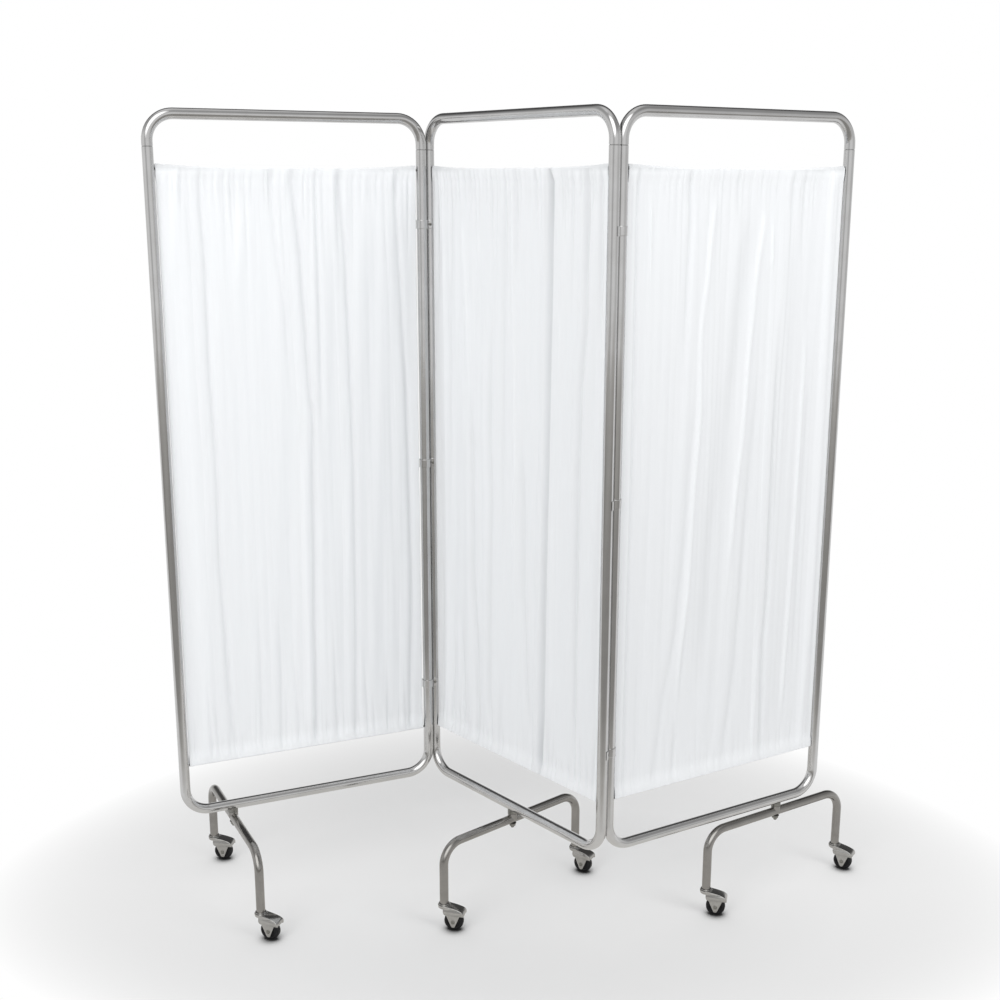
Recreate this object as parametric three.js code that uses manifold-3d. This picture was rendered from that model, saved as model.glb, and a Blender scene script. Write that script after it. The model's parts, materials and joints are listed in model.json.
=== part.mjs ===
// Ward privacy screen on wheels: three hinged tube panels with gathered curtains,
// each on one swivelling bow leg with two hooded casters.
// Millimetres, +Z up, the viewer's side is -Y. The origin ends up under the middle of the screen.
import * as THREE from "three";
import { mergeVertices } from "three/addons/utils/BufferGeometryUtils.js";
import Module from "manifold-3d";

const wasm = await Module();
wasm.setup();

// Clearances shared by the whole screen
const fitGap = 0.3;
const cutOverrun = 2;
const weldTolerance = 0.001;

// Panel frame
const frameWidth = 568; // between the upright centrelines
const frameHeight = 1465; // between the rail centrelines
const railHeight = 222; // lower rail centreline over the floor
const frameTubeRadius = 11;
const frameTubeWall = 1.2;
const frameBendRadius = 52;
const seamDrop = 62; // upper rail centreline down to the seam of the top bow
const plugLength = 35;
const plugCollarLength = 8;
const plugStep = 1;

// Panel plan in degrees and shares, as the screen stands half folded
const foldDegrees = [24.7, -50.4, 31.6];
const legPlaceShares = [0.18, 0.5, 0.815];

// Hinge clips between the uprights
const clipWall = 1.7;
const clipHeight = 20;
const clipLeanDegrees = 10;
const endHingeInset = 215;
const saddleInnerDegrees = 74;
const saddleOuterDegrees = 100;
const clipScrewDegrees = 48; // from the ring toward the curtain
const screwShankRadius = 2;
const screwReach = 8;
const screwHeadRadius = 3;
const screwHeadHeight = 2;
const screwCrownShare = 0.6;

// Curtain and its two rods
const rodRadius = 2;
const rodSocketDepth = 6;
const topRodDrop = 104;
const bottomRodRise = 109;
const curtainSideGap = 0.5; // clear of the hinge clips too
const pocketHeight = 14;
const pocketDepth = 8.4;
const clothThickness = 2.4;
const foldDepth = 5;
const foldCount = 17;
const foldStepCount = 4;
const pocketLap = 1;
const foldPhaseShares = { depth: 0.45, pace: 1.5, start: 0.1 };
const swellShares = { depth: 0.28, pace: 2.3 };
const edgeCalmShare = 0.25; // of the fold depth, left at the side edges
const edgeWidthShare = 0.05; // of the cloth's width

// Leg bow and its pivot
const legTubeRadius = 9.5;
const legTubeWall = 1.2;
const legBarDrop = 30; // lower rail centreline down to the bar centreline
const legHalfLength = 199;
const legBendRadius = 45;
const legEndHeight = 60;
const saddleRadius = 10.5;
const saddleThickness = 4.6;
const saddleRise = 5;
const boltShankRadius = 3.9;
const boltHeadRadius = 5.5;
const boltHeadHeight = 3;
const nutRadius = 7.5;
const nutHeight = 6.5;
const boltTipLength = 4.5;
const legTurnDegrees = [1, 3, -88];

// Caster
const wheelRadius = 21.5;
const wheelHalfWidth = 9.5;
const wheelRound = 4.5;
const casterTrail = 22;
const axleRadius = 3;
const axleHeadRadius = 4.5;
const axleHeadHeight = 1.2;
const cheekThickness = 2.2;
const cheekGap = 0.9;
const wheelWellGap = 2;
const hoodBossRadius = 13.5;
const hoodBossBase = 48;
const hoodBossChamfer = 3;
const kingpinRadius = 4.5;
const kingpinHeadRadius = 6.5;
const kingpinHeadHeight = 1.5;
const kingpinRecessDepth = 5.5;
const stemFlangeRadius = 12;
const stemFlangeThickness = 2.4;
const stemPlugLength = 28;
const casterTurnDegrees = [
  [-20, -8],
  [-13, -30],
  [-13, -30],
];

// The hood from the side, from its brim over the roof to the boss and down to the cheeks' tip.
// Shares of the wheel radius, from the axle.
const hoodOutlineShares = [
  [1.13, 0.7],
  [1.12, 0.9],
  [0.98, 1.14],
  [0.55, 1.37],
  [0, 1.5],
  [-0.6, 1.62],
  [-1.2, 1.62],
  [-1.2, 1.26],
  [-0.98, 1.2],
  [-0.94, 0.78],
  [-0.66, 0.66],
  [-0.14, -0.57],
  [0.14, -0.57],
  [0.66, 0.66],
];

// Facet counts
const tubeSides = 12;
const boreSides = 8;
const bendSteps = 5;
const clipSides = 16;
const pinSides = 8;
const nutSides = 6;
const holeSides = 8;
const wheelSides = 16;
const bossSides = 12;
const stemSides = 12;
const wellSides = 20;

const fullTurn = 2 * Math.PI;
const upright = new THREE.Vector3(0, 0, 1);
const along = new THREE.Vector3(1, 0, 0);

// Sizes that follow from the ones above
const hingeSpacing = 2 * frameTubeRadius + 2 * fitGap + clipWall;
const clipBore = frameTubeRadius + fitGap;
const clipOuter = clipBore + clipWall;
const upperRailHeight = railHeight + frameHeight;
const seamHeight = upperRailHeight - seamDrop;
const frameBore = frameTubeRadius - frameTubeWall;
const legBore = legTubeRadius - legTubeWall;
const legBarHeight = railHeight - legBarDrop;
const saddleBase = railHeight - frameTubeRadius - fitGap - saddleThickness;
const legSeatTop = saddleBase - fitGap;
const boltHoleRadius = boltShankRadius + fitGap;
const axleHeight = wheelRadius * Math.cos(Math.PI / wheelSides);
const flangeTop = legEndHeight - fitGap;
const flangeBase = flangeTop - stemFlangeThickness;
const hoodBossTop = flangeBase - fitGap;
const kingpinSeat = hoodBossBase + kingpinRecessDepth;
const cheekInner = wheelHalfWidth + cheekGap;
const cheekOuter = cheekInner + cheekThickness;
const wellRadius = wheelRadius + wheelWellGap;

// Materials
const metal = (color, roughness) => new THREE.MeshStandardMaterial({ color, roughness, metalness: 1 });
const chrome = () => metal("#b4b2af", 0.22);
const brightChrome = () => metal("#d2d1ce", 0.15);
const zinc = () => metal("#85847f", 0.4);
const cloth = () => new THREE.MeshStandardMaterial({ color: "#f1f2f4", roughness: 0.95, metalness: 0 });
const rubber = () => new THREE.MeshStandardMaterial({ color: "#17171a", roughness: 0.55, metalness: 0 });

const radians = THREE.MathUtils.degToRad;

// The distance from a polygon's middle to its flats, for a given corner radius
const flatRadius = (corner, sides) => corner * Math.cos(Math.PI / sides);

// The corner radius of a polygon whose flats lie at a given radius
const cornerRadius = (flat, sides) => flat / Math.cos(Math.PI / sides);

// A route through knots of its own, each with its direction, for an extruded tube
class Route extends THREE.Curve {
  constructor(knots) {
    super();
    this.knots = knots;
  }

  locate(t) {
    const place = t * (this.knots.length - 1);
    const first = Math.min(Math.floor(place), this.knots.length - 2);
    return [this.knots[first], this.knots[first + 1], place - first];
  }

  getUtoTmapping(u) {
    return u;
  }

  getPoint(t) {
    const [a, b, share] = this.locate(t);
    return a.point.clone().lerp(b.point, share);
  }

  getTangent(t) {
    const [a, b, share] = this.locate(t);
    return a.direction.clone().lerp(b.direction, share).normalize();
  }
}

// The knots of one rounded corner between two legs of a route
function cornerKnots(before, corner, after, radius) {
  const into = corner.clone().sub(before).normalize();
  const out = after.clone().sub(corner).normalize();
  const half = into.angleTo(out) / 2;
  const reach = radius * Math.tan(half);
  const start = corner.clone().addScaledVector(into, -reach);
  const inward = out.clone().addScaledVector(into, -into.dot(out)).normalize();
  const centre = start.clone().addScaledVector(inward, radius);
  return Array.from({ length: bendSteps + 1 }, (_, i) => {
    const angle = (2 * half * i) / bendSteps;
    const point = centre.clone();
    point.addScaledVector(into, radius * Math.sin(angle));
    point.addScaledVector(inward, -radius * Math.cos(angle));
    const direction = into.clone().multiplyScalar(Math.cos(angle));
    direction.addScaledVector(inward, Math.sin(angle));
    return { point, direction };
  });
}

// A route along straight legs with rounded corners
function roundedRoute(corners, radius) {
  const last = corners.length - 1;
  const first = corners[1].clone().sub(corners[0]).normalize();
  const final = corners[last].clone().sub(corners[last - 1]).normalize();
  const knots = [{ point: corners[0], direction: first }];
  for (let i = 1; i < last; i += 1) {
    knots.push(...cornerKnots(corners[i - 1], corners[i], corners[i + 1], radius));
  }
  knots.push({ point: corners[last], direction: final });
  return new Route(knots);
}

// The corners of a regular polygon
function polygonPoints(radius, sides) {
  return Array.from({ length: sides }, (_, i) => {
    const angle = (fullTurn * i) / sides;
    return new THREE.Vector2(radius * Math.cos(angle), radius * Math.sin(angle));
  });
}

// An open-ended tube along a route
function tubeGeometry(route, outer, inner) {
  const section = new THREE.Shape(polygonPoints(outer, tubeSides));
  section.holes.push(new THREE.Path(polygonPoints(inner, boreSides)));
  return new THREE.ExtrudeGeometry(section, { steps: route.knots.length - 1, extrudePath: route });
}

// A flat shape raised from one height to another
function raised(shape, base, top) {
  const geometry = new THREE.ExtrudeGeometry(shape, { depth: top - base, bevelEnabled: false });
  return geometry.translate(0, 0, base);
}

// A standing cylinder between two heights
function post(radius, base, top, sides) {
  return raised(new THREE.Shape(polygonPoints(radius, sides)), base, top);
}

// A cylinder between two points, turned from a standing one
function barBetween(start, end, radius, sides) {
  const geometry = post(radius, 0, start.distanceTo(end), sides);
  const direction = end.clone().sub(start).normalize();
  geometry.applyQuaternion(new THREE.Quaternion().setFromUnitVectors(upright, direction));
  return geometry.translate(start.x, start.y, start.z);
}

// A turned piece about +Z from its radius and height pairs
function turned(profile, sides) {
  const points = profile.map(([radius, height]) => new THREE.Vector2(radius, height));
  return new THREE.LatheGeometry(points, sides).rotateX(Math.PI / 2);
}

// A closed solid for cutting and joining
function solidOf(geometry) {
  const bare = new THREE.BufferGeometry();
  bare.setAttribute("position", geometry.getAttribute("position"));
  bare.setIndex(geometry.getIndex());
  const merged = mergeVertices(bare, weldTolerance);
  const index = merged.getIndex().array;
  const kept = [];
  for (let i = 0; i < index.length; i += 3) {
    const [a, b, c] = index.subarray(i, i + 3);
    if (a !== b && b !== c && c !== a) kept.push(a, b, c);
  }
  const vertProperties = new Float32Array(merged.getAttribute("position").array);
  const triVerts = new Uint32Array(kept);
  return new wasm.Manifold(new wasm.Mesh({ numProp: 3, vertProperties, triVerts }));
}

// The geometry of a closed solid
function geometryOf(solid) {
  const mesh = solid.getMesh();
  const geometry = new THREE.BufferGeometry();
  geometry.setAttribute("position", new THREE.BufferAttribute(mesh.vertProperties, 3));
  geometry.setIndex(new THREE.BufferAttribute(mesh.triVerts, 1));
  geometry.computeVertexNormals();
  return geometry;
}

// A geometry joined with some others and then cut by more
function shaped(geometry, joined, cut) {
  let solid = solidOf(geometry);
  for (const other of joined) solid = solid.add(solidOf(other));
  for (const other of cut) solid = solid.subtract(solidOf(other));
  return geometryOf(solid);
}

function named(name, geometry, material) {
  const mesh = new THREE.Mesh(geometry, material);
  mesh.name = name;
  return mesh;
}

const at = (x, y, z) => new THREE.Vector3(x, y, z);

// Heights of the hinge clips' middles, top first
const hingeHeights = {
  top: upperRailHeight - endHingeInset,
  middle: railHeight + frameHeight / 2,
  bottom: railHeight + endHingeInset,
};

// The heading of a hinge ring from the middle panel's own direction, in degrees.
// Side -1 is the panel's left edge and 1 its right edge.
const ringHeading = (side) => side * 90 + clipLeanDegrees;

// The plug ring at the lower end of an upright of the top bow
function bowPlug(x) {
  const plugOuter = flatRadius(frameBore, boreSides) - fitGap;
  const plugInner = plugOuter - frameTubeWall;
  const collarRadius = (frameBore + frameTubeRadius) / 2;
  const profile = [
    [plugInner, seamHeight - plugLength],
    [plugOuter, seamHeight - plugLength],
    [plugOuter, seamHeight + plugStep],
    [collarRadius, seamHeight + plugStep],
    [collarRadius, seamHeight + plugCollarLength],
    [plugInner, seamHeight + plugCollarLength],
    [plugInner, seamHeight - plugLength],
  ];
  return turned(profile, tubeSides).translate(x, 0, 0);
}

// The upper bow of a panel, with plug ends that enter the uprights
function topBowGeometry() {
  const corners = [
    at(0, 0, seamHeight),
    at(0, 0, upperRailHeight),
    at(frameWidth, 0, upperRailHeight),
    at(frameWidth, 0, seamHeight),
  ];
  const route = roundedRoute(corners, frameBendRadius);
  const bow = tubeGeometry(route, frameTubeRadius, frameBore);
  return shaped(bow, [bowPlug(0), bowPlug(frameWidth)], []);
}

// The two rods' centreline heights
const rodHeights = { top: upperRailHeight - topRodDrop, bottom: railHeight + bottomRodRise };

// A bar along both sockets of a rod, grown by a gap all round
function rodBar(height, gap, sides) {
  const reach = frameTubeRadius - rodSocketDepth - gap;
  return barBetween(at(reach, 0, height), at(frameWidth - reach, 0, height), rodRadius + gap, sides);
}

// The hole of a hinge screw in one wall of an upright, toward a heading in degrees
function screwHole(x, headingDegrees, height) {
  const reach = clipOuter + cutOverrun;
  const radius = cornerRadius(screwShankRadius + fitGap, holeSides);
  const out = along.clone().applyAxisAngle(upright, radians(headingDegrees));
  const start = at(x, 0, height);
  return barBetween(start, start.clone().addScaledVector(out, reach), radius, holeSides);
}

// Both uprights and the lower rail of a panel in one bent tube
function lowerFrameGeometry(legPlaceShare, hasHingeScrews) {
  const corners = [
    at(0, 0, seamHeight - fitGap),
    at(0, 0, railHeight),
    at(frameWidth, 0, railHeight),
    at(frameWidth, 0, seamHeight - fitGap),
  ];
  const route = roundedRoute(corners, frameBendRadius);
  const cuts = Object.values(rodHeights).map((height) => rodBar(height, fitGap, holeSides));
  const boltX = frameWidth * legPlaceShare;
  const boltHoleBase = railHeight - frameTubeRadius - cutOverrun;
  const boltHole = post(cornerRadius(boltHoleRadius, pinSides), boltHoleBase, railHeight, pinSides);
  cuts.push(boltHole.translate(boltX, 0, 0));
  if (hasHingeScrews) {
    for (const height of Object.values(hingeHeights)) {
      cuts.push(screwHole(0, ringHeading(-1) + clipScrewDegrees, height));
      cuts.push(screwHole(frameWidth, ringHeading(1) + clipScrewDegrees, height));
    }
  }
  return shaped(tubeGeometry(route, frameTubeRadius, frameBore), [], cuts);
}

// How far the cloth leaves the panel plane at a share of its width
function foldOffset(share) {
  const wander = Math.sin(fullTurn * (foldPhaseShares.pace * share + foldPhaseShares.start));
  const turns = foldCount * share + foldPhaseShares.depth * wander;
  const swell = 1 - swellShares.depth + swellShares.depth * Math.sin(fullTurn * swellShares.pace * share);
  const edge = edgeCalmShare + Math.min(share, 1 - share) / edgeWidthShare;
  return foldDepth * swell * Math.min(1, edge) * Math.sin(fullTurn * turns);
}

// The cloth in upright folds between the two rod pockets
function foldedClothGeometry(left, right, base, top) {
  const columnCount = foldCount * foldStepCount;
  const front = [];
  const back = [];
  for (let column = 0; column <= columnCount; column += 1) {
    const share = column / columnCount;
    const x = left + (right - left) * share;
    const y = foldOffset(share);
    front.push(new THREE.Vector2(x, y - clothThickness / 2));
    back.unshift(new THREE.Vector2(x, y + clothThickness / 2));
  }
  return raised(new THREE.Shape([...front, ...back]), base, top);
}

// A stitched pocket of cloth around a rod
function pocketGeometry(left, right, height) {
  const width = right - left;
  const box = new THREE.BoxGeometry(width, pocketDepth, pocketHeight);
  return box.translate((left + right) / 2, 0, height);
}

// A curtain with its main folds, from the pocket of one rod to that of the other
function curtainGeometry() {
  const inset = clipOuter + curtainSideGap;
  const left = inset;
  const right = frameWidth - inset;
  const half = pocketHeight / 2 - pocketLap;
  const folds = foldedClothGeometry(left, right, rodHeights.bottom + half, rodHeights.top - half);
  const pockets = Object.values(rodHeights).map((height) => pocketGeometry(left, right, height));
  const tunnels = Object.values(rodHeights).map((height) => rodBar(height, fitGap, holeSides));
  return shaped(folds, pockets, tunnels);
}

// A band of an arc between two radii, in degrees from +X
function arcBand(inner, outer, startDegrees, endDegrees) {
  const steps = Math.ceil((clipSides * (endDegrees - startDegrees)) / 360);
  const outerRim = [];
  const innerRim = [];
  for (let i = 0; i <= steps; i += 1) {
    const angle = radians(startDegrees + ((endDegrees - startDegrees) * i) / steps);
    outerRim.push(new THREE.Vector2(outer * Math.cos(angle), outer * Math.sin(angle)));
    innerRim.unshift(new THREE.Vector2(inner * Math.cos(angle), inner * Math.sin(angle)));
  }
  return new THREE.Shape([...outerRim, ...innerRim]);
}

// A hinge clip: a saddle on the upright at the origin and a ring around the next panel's upright.
// The ring lies along +X, and the curtain of the panel that carries the clip lies toward +Y.
function clipGeometry() {
  const half = clipHeight / 2;
  const through = half + cutOverrun;
  const bore = cornerRadius(clipBore, clipSides);
  const band = arcBand(frameBore, clipOuter, -saddleOuterDegrees, saddleInnerDegrees);
  const ring = post(clipOuter, -half, half, clipSides).translate(hingeSpacing, 0, 0);
  const ringBore = post(bore, -through, through, clipSides).translate(hingeSpacing, 0, 0);
  const saddleBore = post(bore, -through, through, clipSides);
  const hole = screwHole(0, clipScrewDegrees, 0);
  return shaped(ring, [raised(band, -half, half)], [ringBore, saddleBore, hole]);
}

// One hinge of the middle panel, at its left edge for side -1 or its right edge for side 1
function addHinge(panel, line, place, side) {
  const hinge = new THREE.Group();
  hinge.position.set(side < 0 ? 0 : frameWidth, 0, hingeHeights[place]);
  hinge.rotation.z = radians(ringHeading(side));
  const clip = named(`${line}_${place}_clip`, clipGeometry(), chrome());
  const screw = named(`${line}_${place}_screw`, screwGeometry(), zinc());
  screw.rotation.set(0, Math.PI / 2, radians(clipScrewDegrees), "ZYX");
  hinge.add(clip, screw);
  panel.add(hinge);
}

// A pan-head screw that points down its own axis, with its head outside the clip
function screwGeometry() {
  const headBase = clipOuter + fitGap;
  const tip = frameTubeRadius - screwReach;
  const crown = screwHeadRadius * screwCrownShare;
  const profile = [
    [0, tip],
    [screwShankRadius, tip],
    [screwShankRadius, headBase],
    [screwHeadRadius, headBase],
    [screwHeadRadius, headBase + screwHeadHeight / 2],
    [crown, headBase + screwHeadHeight],
    [0, headBase + screwHeadHeight],
  ];
  return turned(profile, pinSides);
}

// The block between the lower rail and the leg, hollowed to the rail
function railSaddleGeometry() {
  const block = post(saddleRadius, saddleBase, railHeight - frameTubeRadius + saddleRise, bossSides);
  const railCut = cornerRadius(frameTubeRadius + fitGap, tubeSides);
  const reach = saddleRadius + cutOverrun;
  const rail = barBetween(at(-reach, 0, railHeight), at(reach, 0, railHeight), railCut, tubeSides);
  const hole = post(cornerRadius(boltHoleRadius, pinSides), saddleBase - cutOverrun, railHeight, pinSides);
  return shaped(block, [], [rail, hole]);
}

// The pivot bolt with its head inside the rail, down through saddle and leg, and its nut under the bar
function pivotBoltGeometry() {
  const railFloor = Math.sqrt(flatRadius(frameBore, boreSides) ** 2 - boltHeadRadius ** 2);
  const headBase = railHeight - railFloor + fitGap;
  const nutTop = legBarHeight - legTubeRadius - fitGap;
  const nutBase = nutTop - nutHeight;
  const profile = [
    [0, nutBase - boltTipLength],
    [boltShankRadius, nutBase - boltTipLength],
    [boltShankRadius, headBase],
    [boltHeadRadius, headBase],
    [boltHeadRadius, headBase + boltHeadHeight],
    [0, headBase + boltHeadHeight],
  ];
  return shaped(turned(profile, pinSides), [post(nutRadius, nutBase, nutTop, nutSides)], []);
}

// The bow leg: a bar with both ends bent down, and its turning seat under the saddle
function legBowGeometry() {
  const corners = [
    at(-legHalfLength, 0, legEndHeight),
    at(-legHalfLength, 0, legBarHeight),
    at(legHalfLength, 0, legBarHeight),
    at(legHalfLength, 0, legEndHeight),
  ];
  const route = roundedRoute(corners, legBendRadius);
  const bow = tubeGeometry(route, legTubeRadius, legBore);
  const seatBase = legBarHeight + legBore / 2;
  const seat = post(saddleRadius, seatBase, legSeatTop, bossSides);
  const reach = saddleRadius + cutOverrun;
  const boreCut = barBetween(at(-reach, 0, legBarHeight), at(reach, 0, legBarHeight), legBore, boreSides);
  const seatShell = shaped(seat, [], [boreCut]);
  const boltHole = post(
    cornerRadius(boltHoleRadius, pinSides),
    legBarHeight - legTubeRadius - cutOverrun,
    legSeatTop + cutOverrun,
    pinSides,
  );
  return shaped(bow, [seatShell], [boltHole]);
}

// The caster's stem: a plug in the leg tube, a flange at its end and the kingpin under it
function stemGeometry() {
  const plugRadius = flatRadius(legBore, boreSides) - fitGap;
  const headTop = kingpinSeat - fitGap;
  const profile = [
    [0, headTop - kingpinHeadHeight],
    [kingpinHeadRadius, headTop - kingpinHeadHeight],
    [kingpinHeadRadius, headTop],
    [kingpinRadius, headTop],
    [kingpinRadius, flangeBase],
    [stemFlangeRadius, flangeBase],
    [stemFlangeRadius, flangeTop],
    [plugRadius, flangeTop],
    [plugRadius, flangeTop + stemPlugLength],
    [0, flangeTop + stemPlugLength],
  ];
  return turned(profile, stemSides);
}

// The hood's outline from the side, with the swivel axis at zero
function hoodOutline() {
  const points = hoodOutlineShares.map(([outShare, upShare]) => {
    return new THREE.Vector2(casterTrail + outShare * wheelRadius, axleHeight + upShare * wheelRadius);
  });
  return new THREE.Shape(points);
}

// The swivelling hood with its boss, its roof over the wheel and both cheeks
function hoodGeometry() {
  const profile = raised(hoodOutline(), -cheekOuter, cheekOuter).rotateX(Math.PI / 2);
  const boss = turned(
    [
      [0, hoodBossBase],
      [hoodBossRadius - hoodBossChamfer, hoodBossBase],
      [hoodBossRadius, hoodBossBase + hoodBossChamfer],
      [hoodBossRadius, hoodBossTop],
      [0, hoodBossTop],
    ],
    bossSides,
  );
  const axis = (reach) => [at(casterTrail, -reach, axleHeight), at(casterTrail, reach, axleHeight)];
  const well = barBetween(...axis(cheekInner), wellRadius, wellSides);
  const axleHoleRadius = cornerRadius(axleRadius + fitGap, pinSides);
  const axleHole = barBetween(...axis(cheekOuter + cutOverrun), axleHoleRadius, pinSides);
  const boreRadius = cornerRadius(kingpinRadius + fitGap, stemSides);
  const bore = post(boreRadius, hoodBossBase - cutOverrun, hoodBossTop + cutOverrun, stemSides);
  const recessRadius = cornerRadius(kingpinHeadRadius + fitGap, stemSides);
  const recess = post(recessRadius, axleHeight + wheelRadius / 2, kingpinSeat, stemSides);
  return shaped(boss, [profile], [well, axleHole, bore, recess]);
}

// The wheel, turned about its axle along Y with a flat of its tread underneath
function wheelGeometry() {
  const bore = cornerRadius(axleRadius + fitGap, wheelSides);
  const tread = wheelHalfWidth - wheelRound;
  const rim = wheelRadius - wheelRound;
  const profile = [
    [bore, -wheelHalfWidth],
    [rim, -wheelHalfWidth],
    [wheelRadius, -tread],
    [wheelRadius, tread],
    [rim, wheelHalfWidth],
    [bore, wheelHalfWidth],
    [bore, -wheelHalfWidth],
  ];
  const geometry = turned(profile, wheelSides).rotateZ(Math.PI / wheelSides);
  return geometry.rotateX(Math.PI / 2);
}

// The riveted axle along Y
function axleGeometry() {
  const headInner = cheekOuter + fitGap;
  const headOuter = headInner + axleHeadHeight;
  const profile = [
    [0, -headOuter],
    [axleHeadRadius, -headOuter],
    [axleHeadRadius, -headInner],
    [axleRadius, -headInner],
    [axleRadius, headInner],
    [axleHeadRadius, headInner],
    [axleHeadRadius, headOuter],
    [0, headOuter],
  ];
  return turned(profile, pinSides).rotateX(Math.PI / 2);
}

// One caster under an end of the leg, turned so that its wheel trails toward its own +X
function casterAt(prefix, x, turnDegrees) {
  const caster = new THREE.Group();
  caster.position.x = x;
  caster.rotation.z = radians(turnDegrees);
  const wheel = named(`${prefix}_wheel`, wheelGeometry(), rubber());
  const axle = named(`${prefix}_axle`, axleGeometry(), zinc());
  for (const piece of [wheel, axle]) piece.position.set(casterTrail, 0, axleHeight);
  const stem = named(`${prefix}_stem`, stemGeometry(), brightChrome());
  const hood = named(`${prefix}_hood`, hoodGeometry(), brightChrome());
  caster.add(stem, hood, wheel, axle);
  return caster;
}

// One leg with its pivot and its two casters, at its place along the lower rail
function legUnder(panelIndex) {
  const number = panelIndex + 1;
  const pivot = new THREE.Group();
  pivot.position.x = frameWidth * legPlaceShares[panelIndex];
  pivot.add(named(`leg${number}_rail_saddle`, railSaddleGeometry(), zinc()));
  pivot.add(named(`leg${number}_pivot_bolt`, pivotBoltGeometry(), zinc()));
  const leg = new THREE.Group();
  const legDegrees = legTurnDegrees[panelIndex] - 90;
  leg.rotation.z = radians(legDegrees);
  leg.add(named(`leg${number}_bow`, legBowGeometry(), chrome()));
  const [frontTurn, rearTurn] = casterTurnDegrees[panelIndex];
  const legHeading = foldDegrees[panelIndex] + legDegrees;
  leg.add(casterAt(`leg${number}_front_caster`, legHalfLength, frontTurn - legHeading));
  leg.add(casterAt(`leg${number}_rear_caster`, -legHalfLength, rearTurn - legHeading));
  pivot.add(leg);
  return pivot;
}

// One panel: frame, rods, curtain and leg, with its left upright on the group's own axis
function panelAt(panelIndex) {
  const number = panelIndex + 1;
  const panel = new THREE.Group();
  panel.rotation.z = radians(foldDegrees[panelIndex]);
  const hasHingeScrews = panelIndex === 1;
  const lowerFrame = lowerFrameGeometry(legPlaceShares[panelIndex], hasHingeScrews);
  panel.add(named(`panel${number}_top_bow`, topBowGeometry(), chrome()));
  panel.add(named(`panel${number}_lower_frame`, lowerFrame, chrome()));
  panel.add(named(`panel${number}_curtain`, curtainGeometry(), cloth()));
  panel.add(named(`panel${number}_top_rod`, rodBar(rodHeights.top, 0, holeSides), zinc()));
  panel.add(named(`panel${number}_bottom_rod`, rodBar(rodHeights.bottom, 0, holeSides), zinc()));
  panel.add(legUnder(panelIndex));
  return panel;
}

const [leftPanel, middlePanel, rightPanel] = [0, 1, 2].map(panelAt);
for (const place of Object.keys(hingeHeights)) {
  addHinge(middlePanel, "hinge12", place, -1);
  addHinge(middlePanel, "hinge23", place, 1);
}

// The neighbours' uprights stand in the clips' rings, one on each face of the middle panel
function ringDirection(side) {
  return along.clone().applyAxisAngle(upright, radians(foldDegrees[1] + ringHeading(side)));
}

const headingOf = (panelIndex) => along.clone().applyAxisAngle(upright, radians(foldDegrees[panelIndex]));
const leftRing = ringDirection(-1).multiplyScalar(hingeSpacing);
leftPanel.position.copy(leftRing).addScaledVector(headingOf(0), -frameWidth);
const rightRing = ringDirection(1).multiplyScalar(hingeSpacing);
rightPanel.position.copy(rightRing).addScaledVector(headingOf(1), frameWidth);

const screen = new THREE.Group();
screen.add(leftPanel, middlePanel, rightPanel);
screen.updateMatrixWorld(true);
const bounds = new THREE.Box3().setFromObject(screen, true);
const middle = bounds.getCenter(new THREE.Vector3());
screen.position.set(-middle.x, -middle.y, -bounds.min.z);

export default screen;
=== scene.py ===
"""Ward privacy screen: three hinged tube panels with gathered curtains on swivelling bow legs."""

import json
import logging
import math
import random
from collections.abc import Iterable, Sequence
from dataclasses import dataclass, field
from enum import Enum

import bmesh
import bpy
from mathutils import Matrix, Vector, noise


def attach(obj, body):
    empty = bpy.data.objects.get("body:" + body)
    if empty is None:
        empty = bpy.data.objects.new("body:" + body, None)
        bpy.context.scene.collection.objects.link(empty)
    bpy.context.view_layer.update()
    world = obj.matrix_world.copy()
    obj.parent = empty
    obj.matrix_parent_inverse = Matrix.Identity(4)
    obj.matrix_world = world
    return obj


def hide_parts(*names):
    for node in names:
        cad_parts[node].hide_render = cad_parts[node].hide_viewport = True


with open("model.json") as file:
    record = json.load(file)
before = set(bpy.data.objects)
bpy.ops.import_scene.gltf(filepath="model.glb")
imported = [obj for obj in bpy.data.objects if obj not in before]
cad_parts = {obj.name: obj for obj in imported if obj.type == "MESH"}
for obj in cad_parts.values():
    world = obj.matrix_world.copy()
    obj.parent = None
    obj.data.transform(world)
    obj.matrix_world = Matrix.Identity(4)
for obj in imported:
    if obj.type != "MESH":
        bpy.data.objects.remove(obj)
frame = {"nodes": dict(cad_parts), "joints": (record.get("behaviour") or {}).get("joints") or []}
log = logging.getLogger("ward_screen")

MM = 0.001
GAP = 0.0003  # the clearance between two pieces that meet
NEAR = 1e-6  # points nearer to each other than this are one
CREASE_OVER = math.radians(38)  # edges sharper than this stay sharp in the shading
RING_SPACING = 0.0243  # from an upright's axis to that of the upright it is hinged to
UP, ACROSS = Vector((0, 0, 1)), Vector((1, 0, 0))
WHITE, BLACK = (1.0, 1.0, 1.0, 1.0), (0.0, 0.0, 0.0, 1.0)

Socket = bpy.types.NodeSocket
Feed = Socket | float | Sequence[float]


class Side(Enum):
    """The edge of the middle panel that a hinge line stands on."""

    LEFT = -1
    RIGHT = 1


class Slot(Enum):
    """The record's material slots."""

    TUBE = "tube_chrome"
    CASTER = "caster_chrome"
    ZINC = "zinc_steel"
    CLOTH = "curtain_cloth"
    RUBBER = "wheel_rubber"


def linear(hex_colour: str) -> tuple[float, float, float, float]:
    """Turns an sRGB hex colour to linear light.

    Args:
        hex_colour: Six hex digits after a hash.

    Returns:
        Red, green, blue and an alpha of one.
    """
    shares = [int(hex_colour[i : i + 2], 16) / 255 for i in (1, 3, 5)]
    red, green, blue = [s / 12.92 if s <= 0.04045 else ((s + 0.055) / 1.055) ** 2.4 for s in shares]
    return red, green, blue, 1.0


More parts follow.
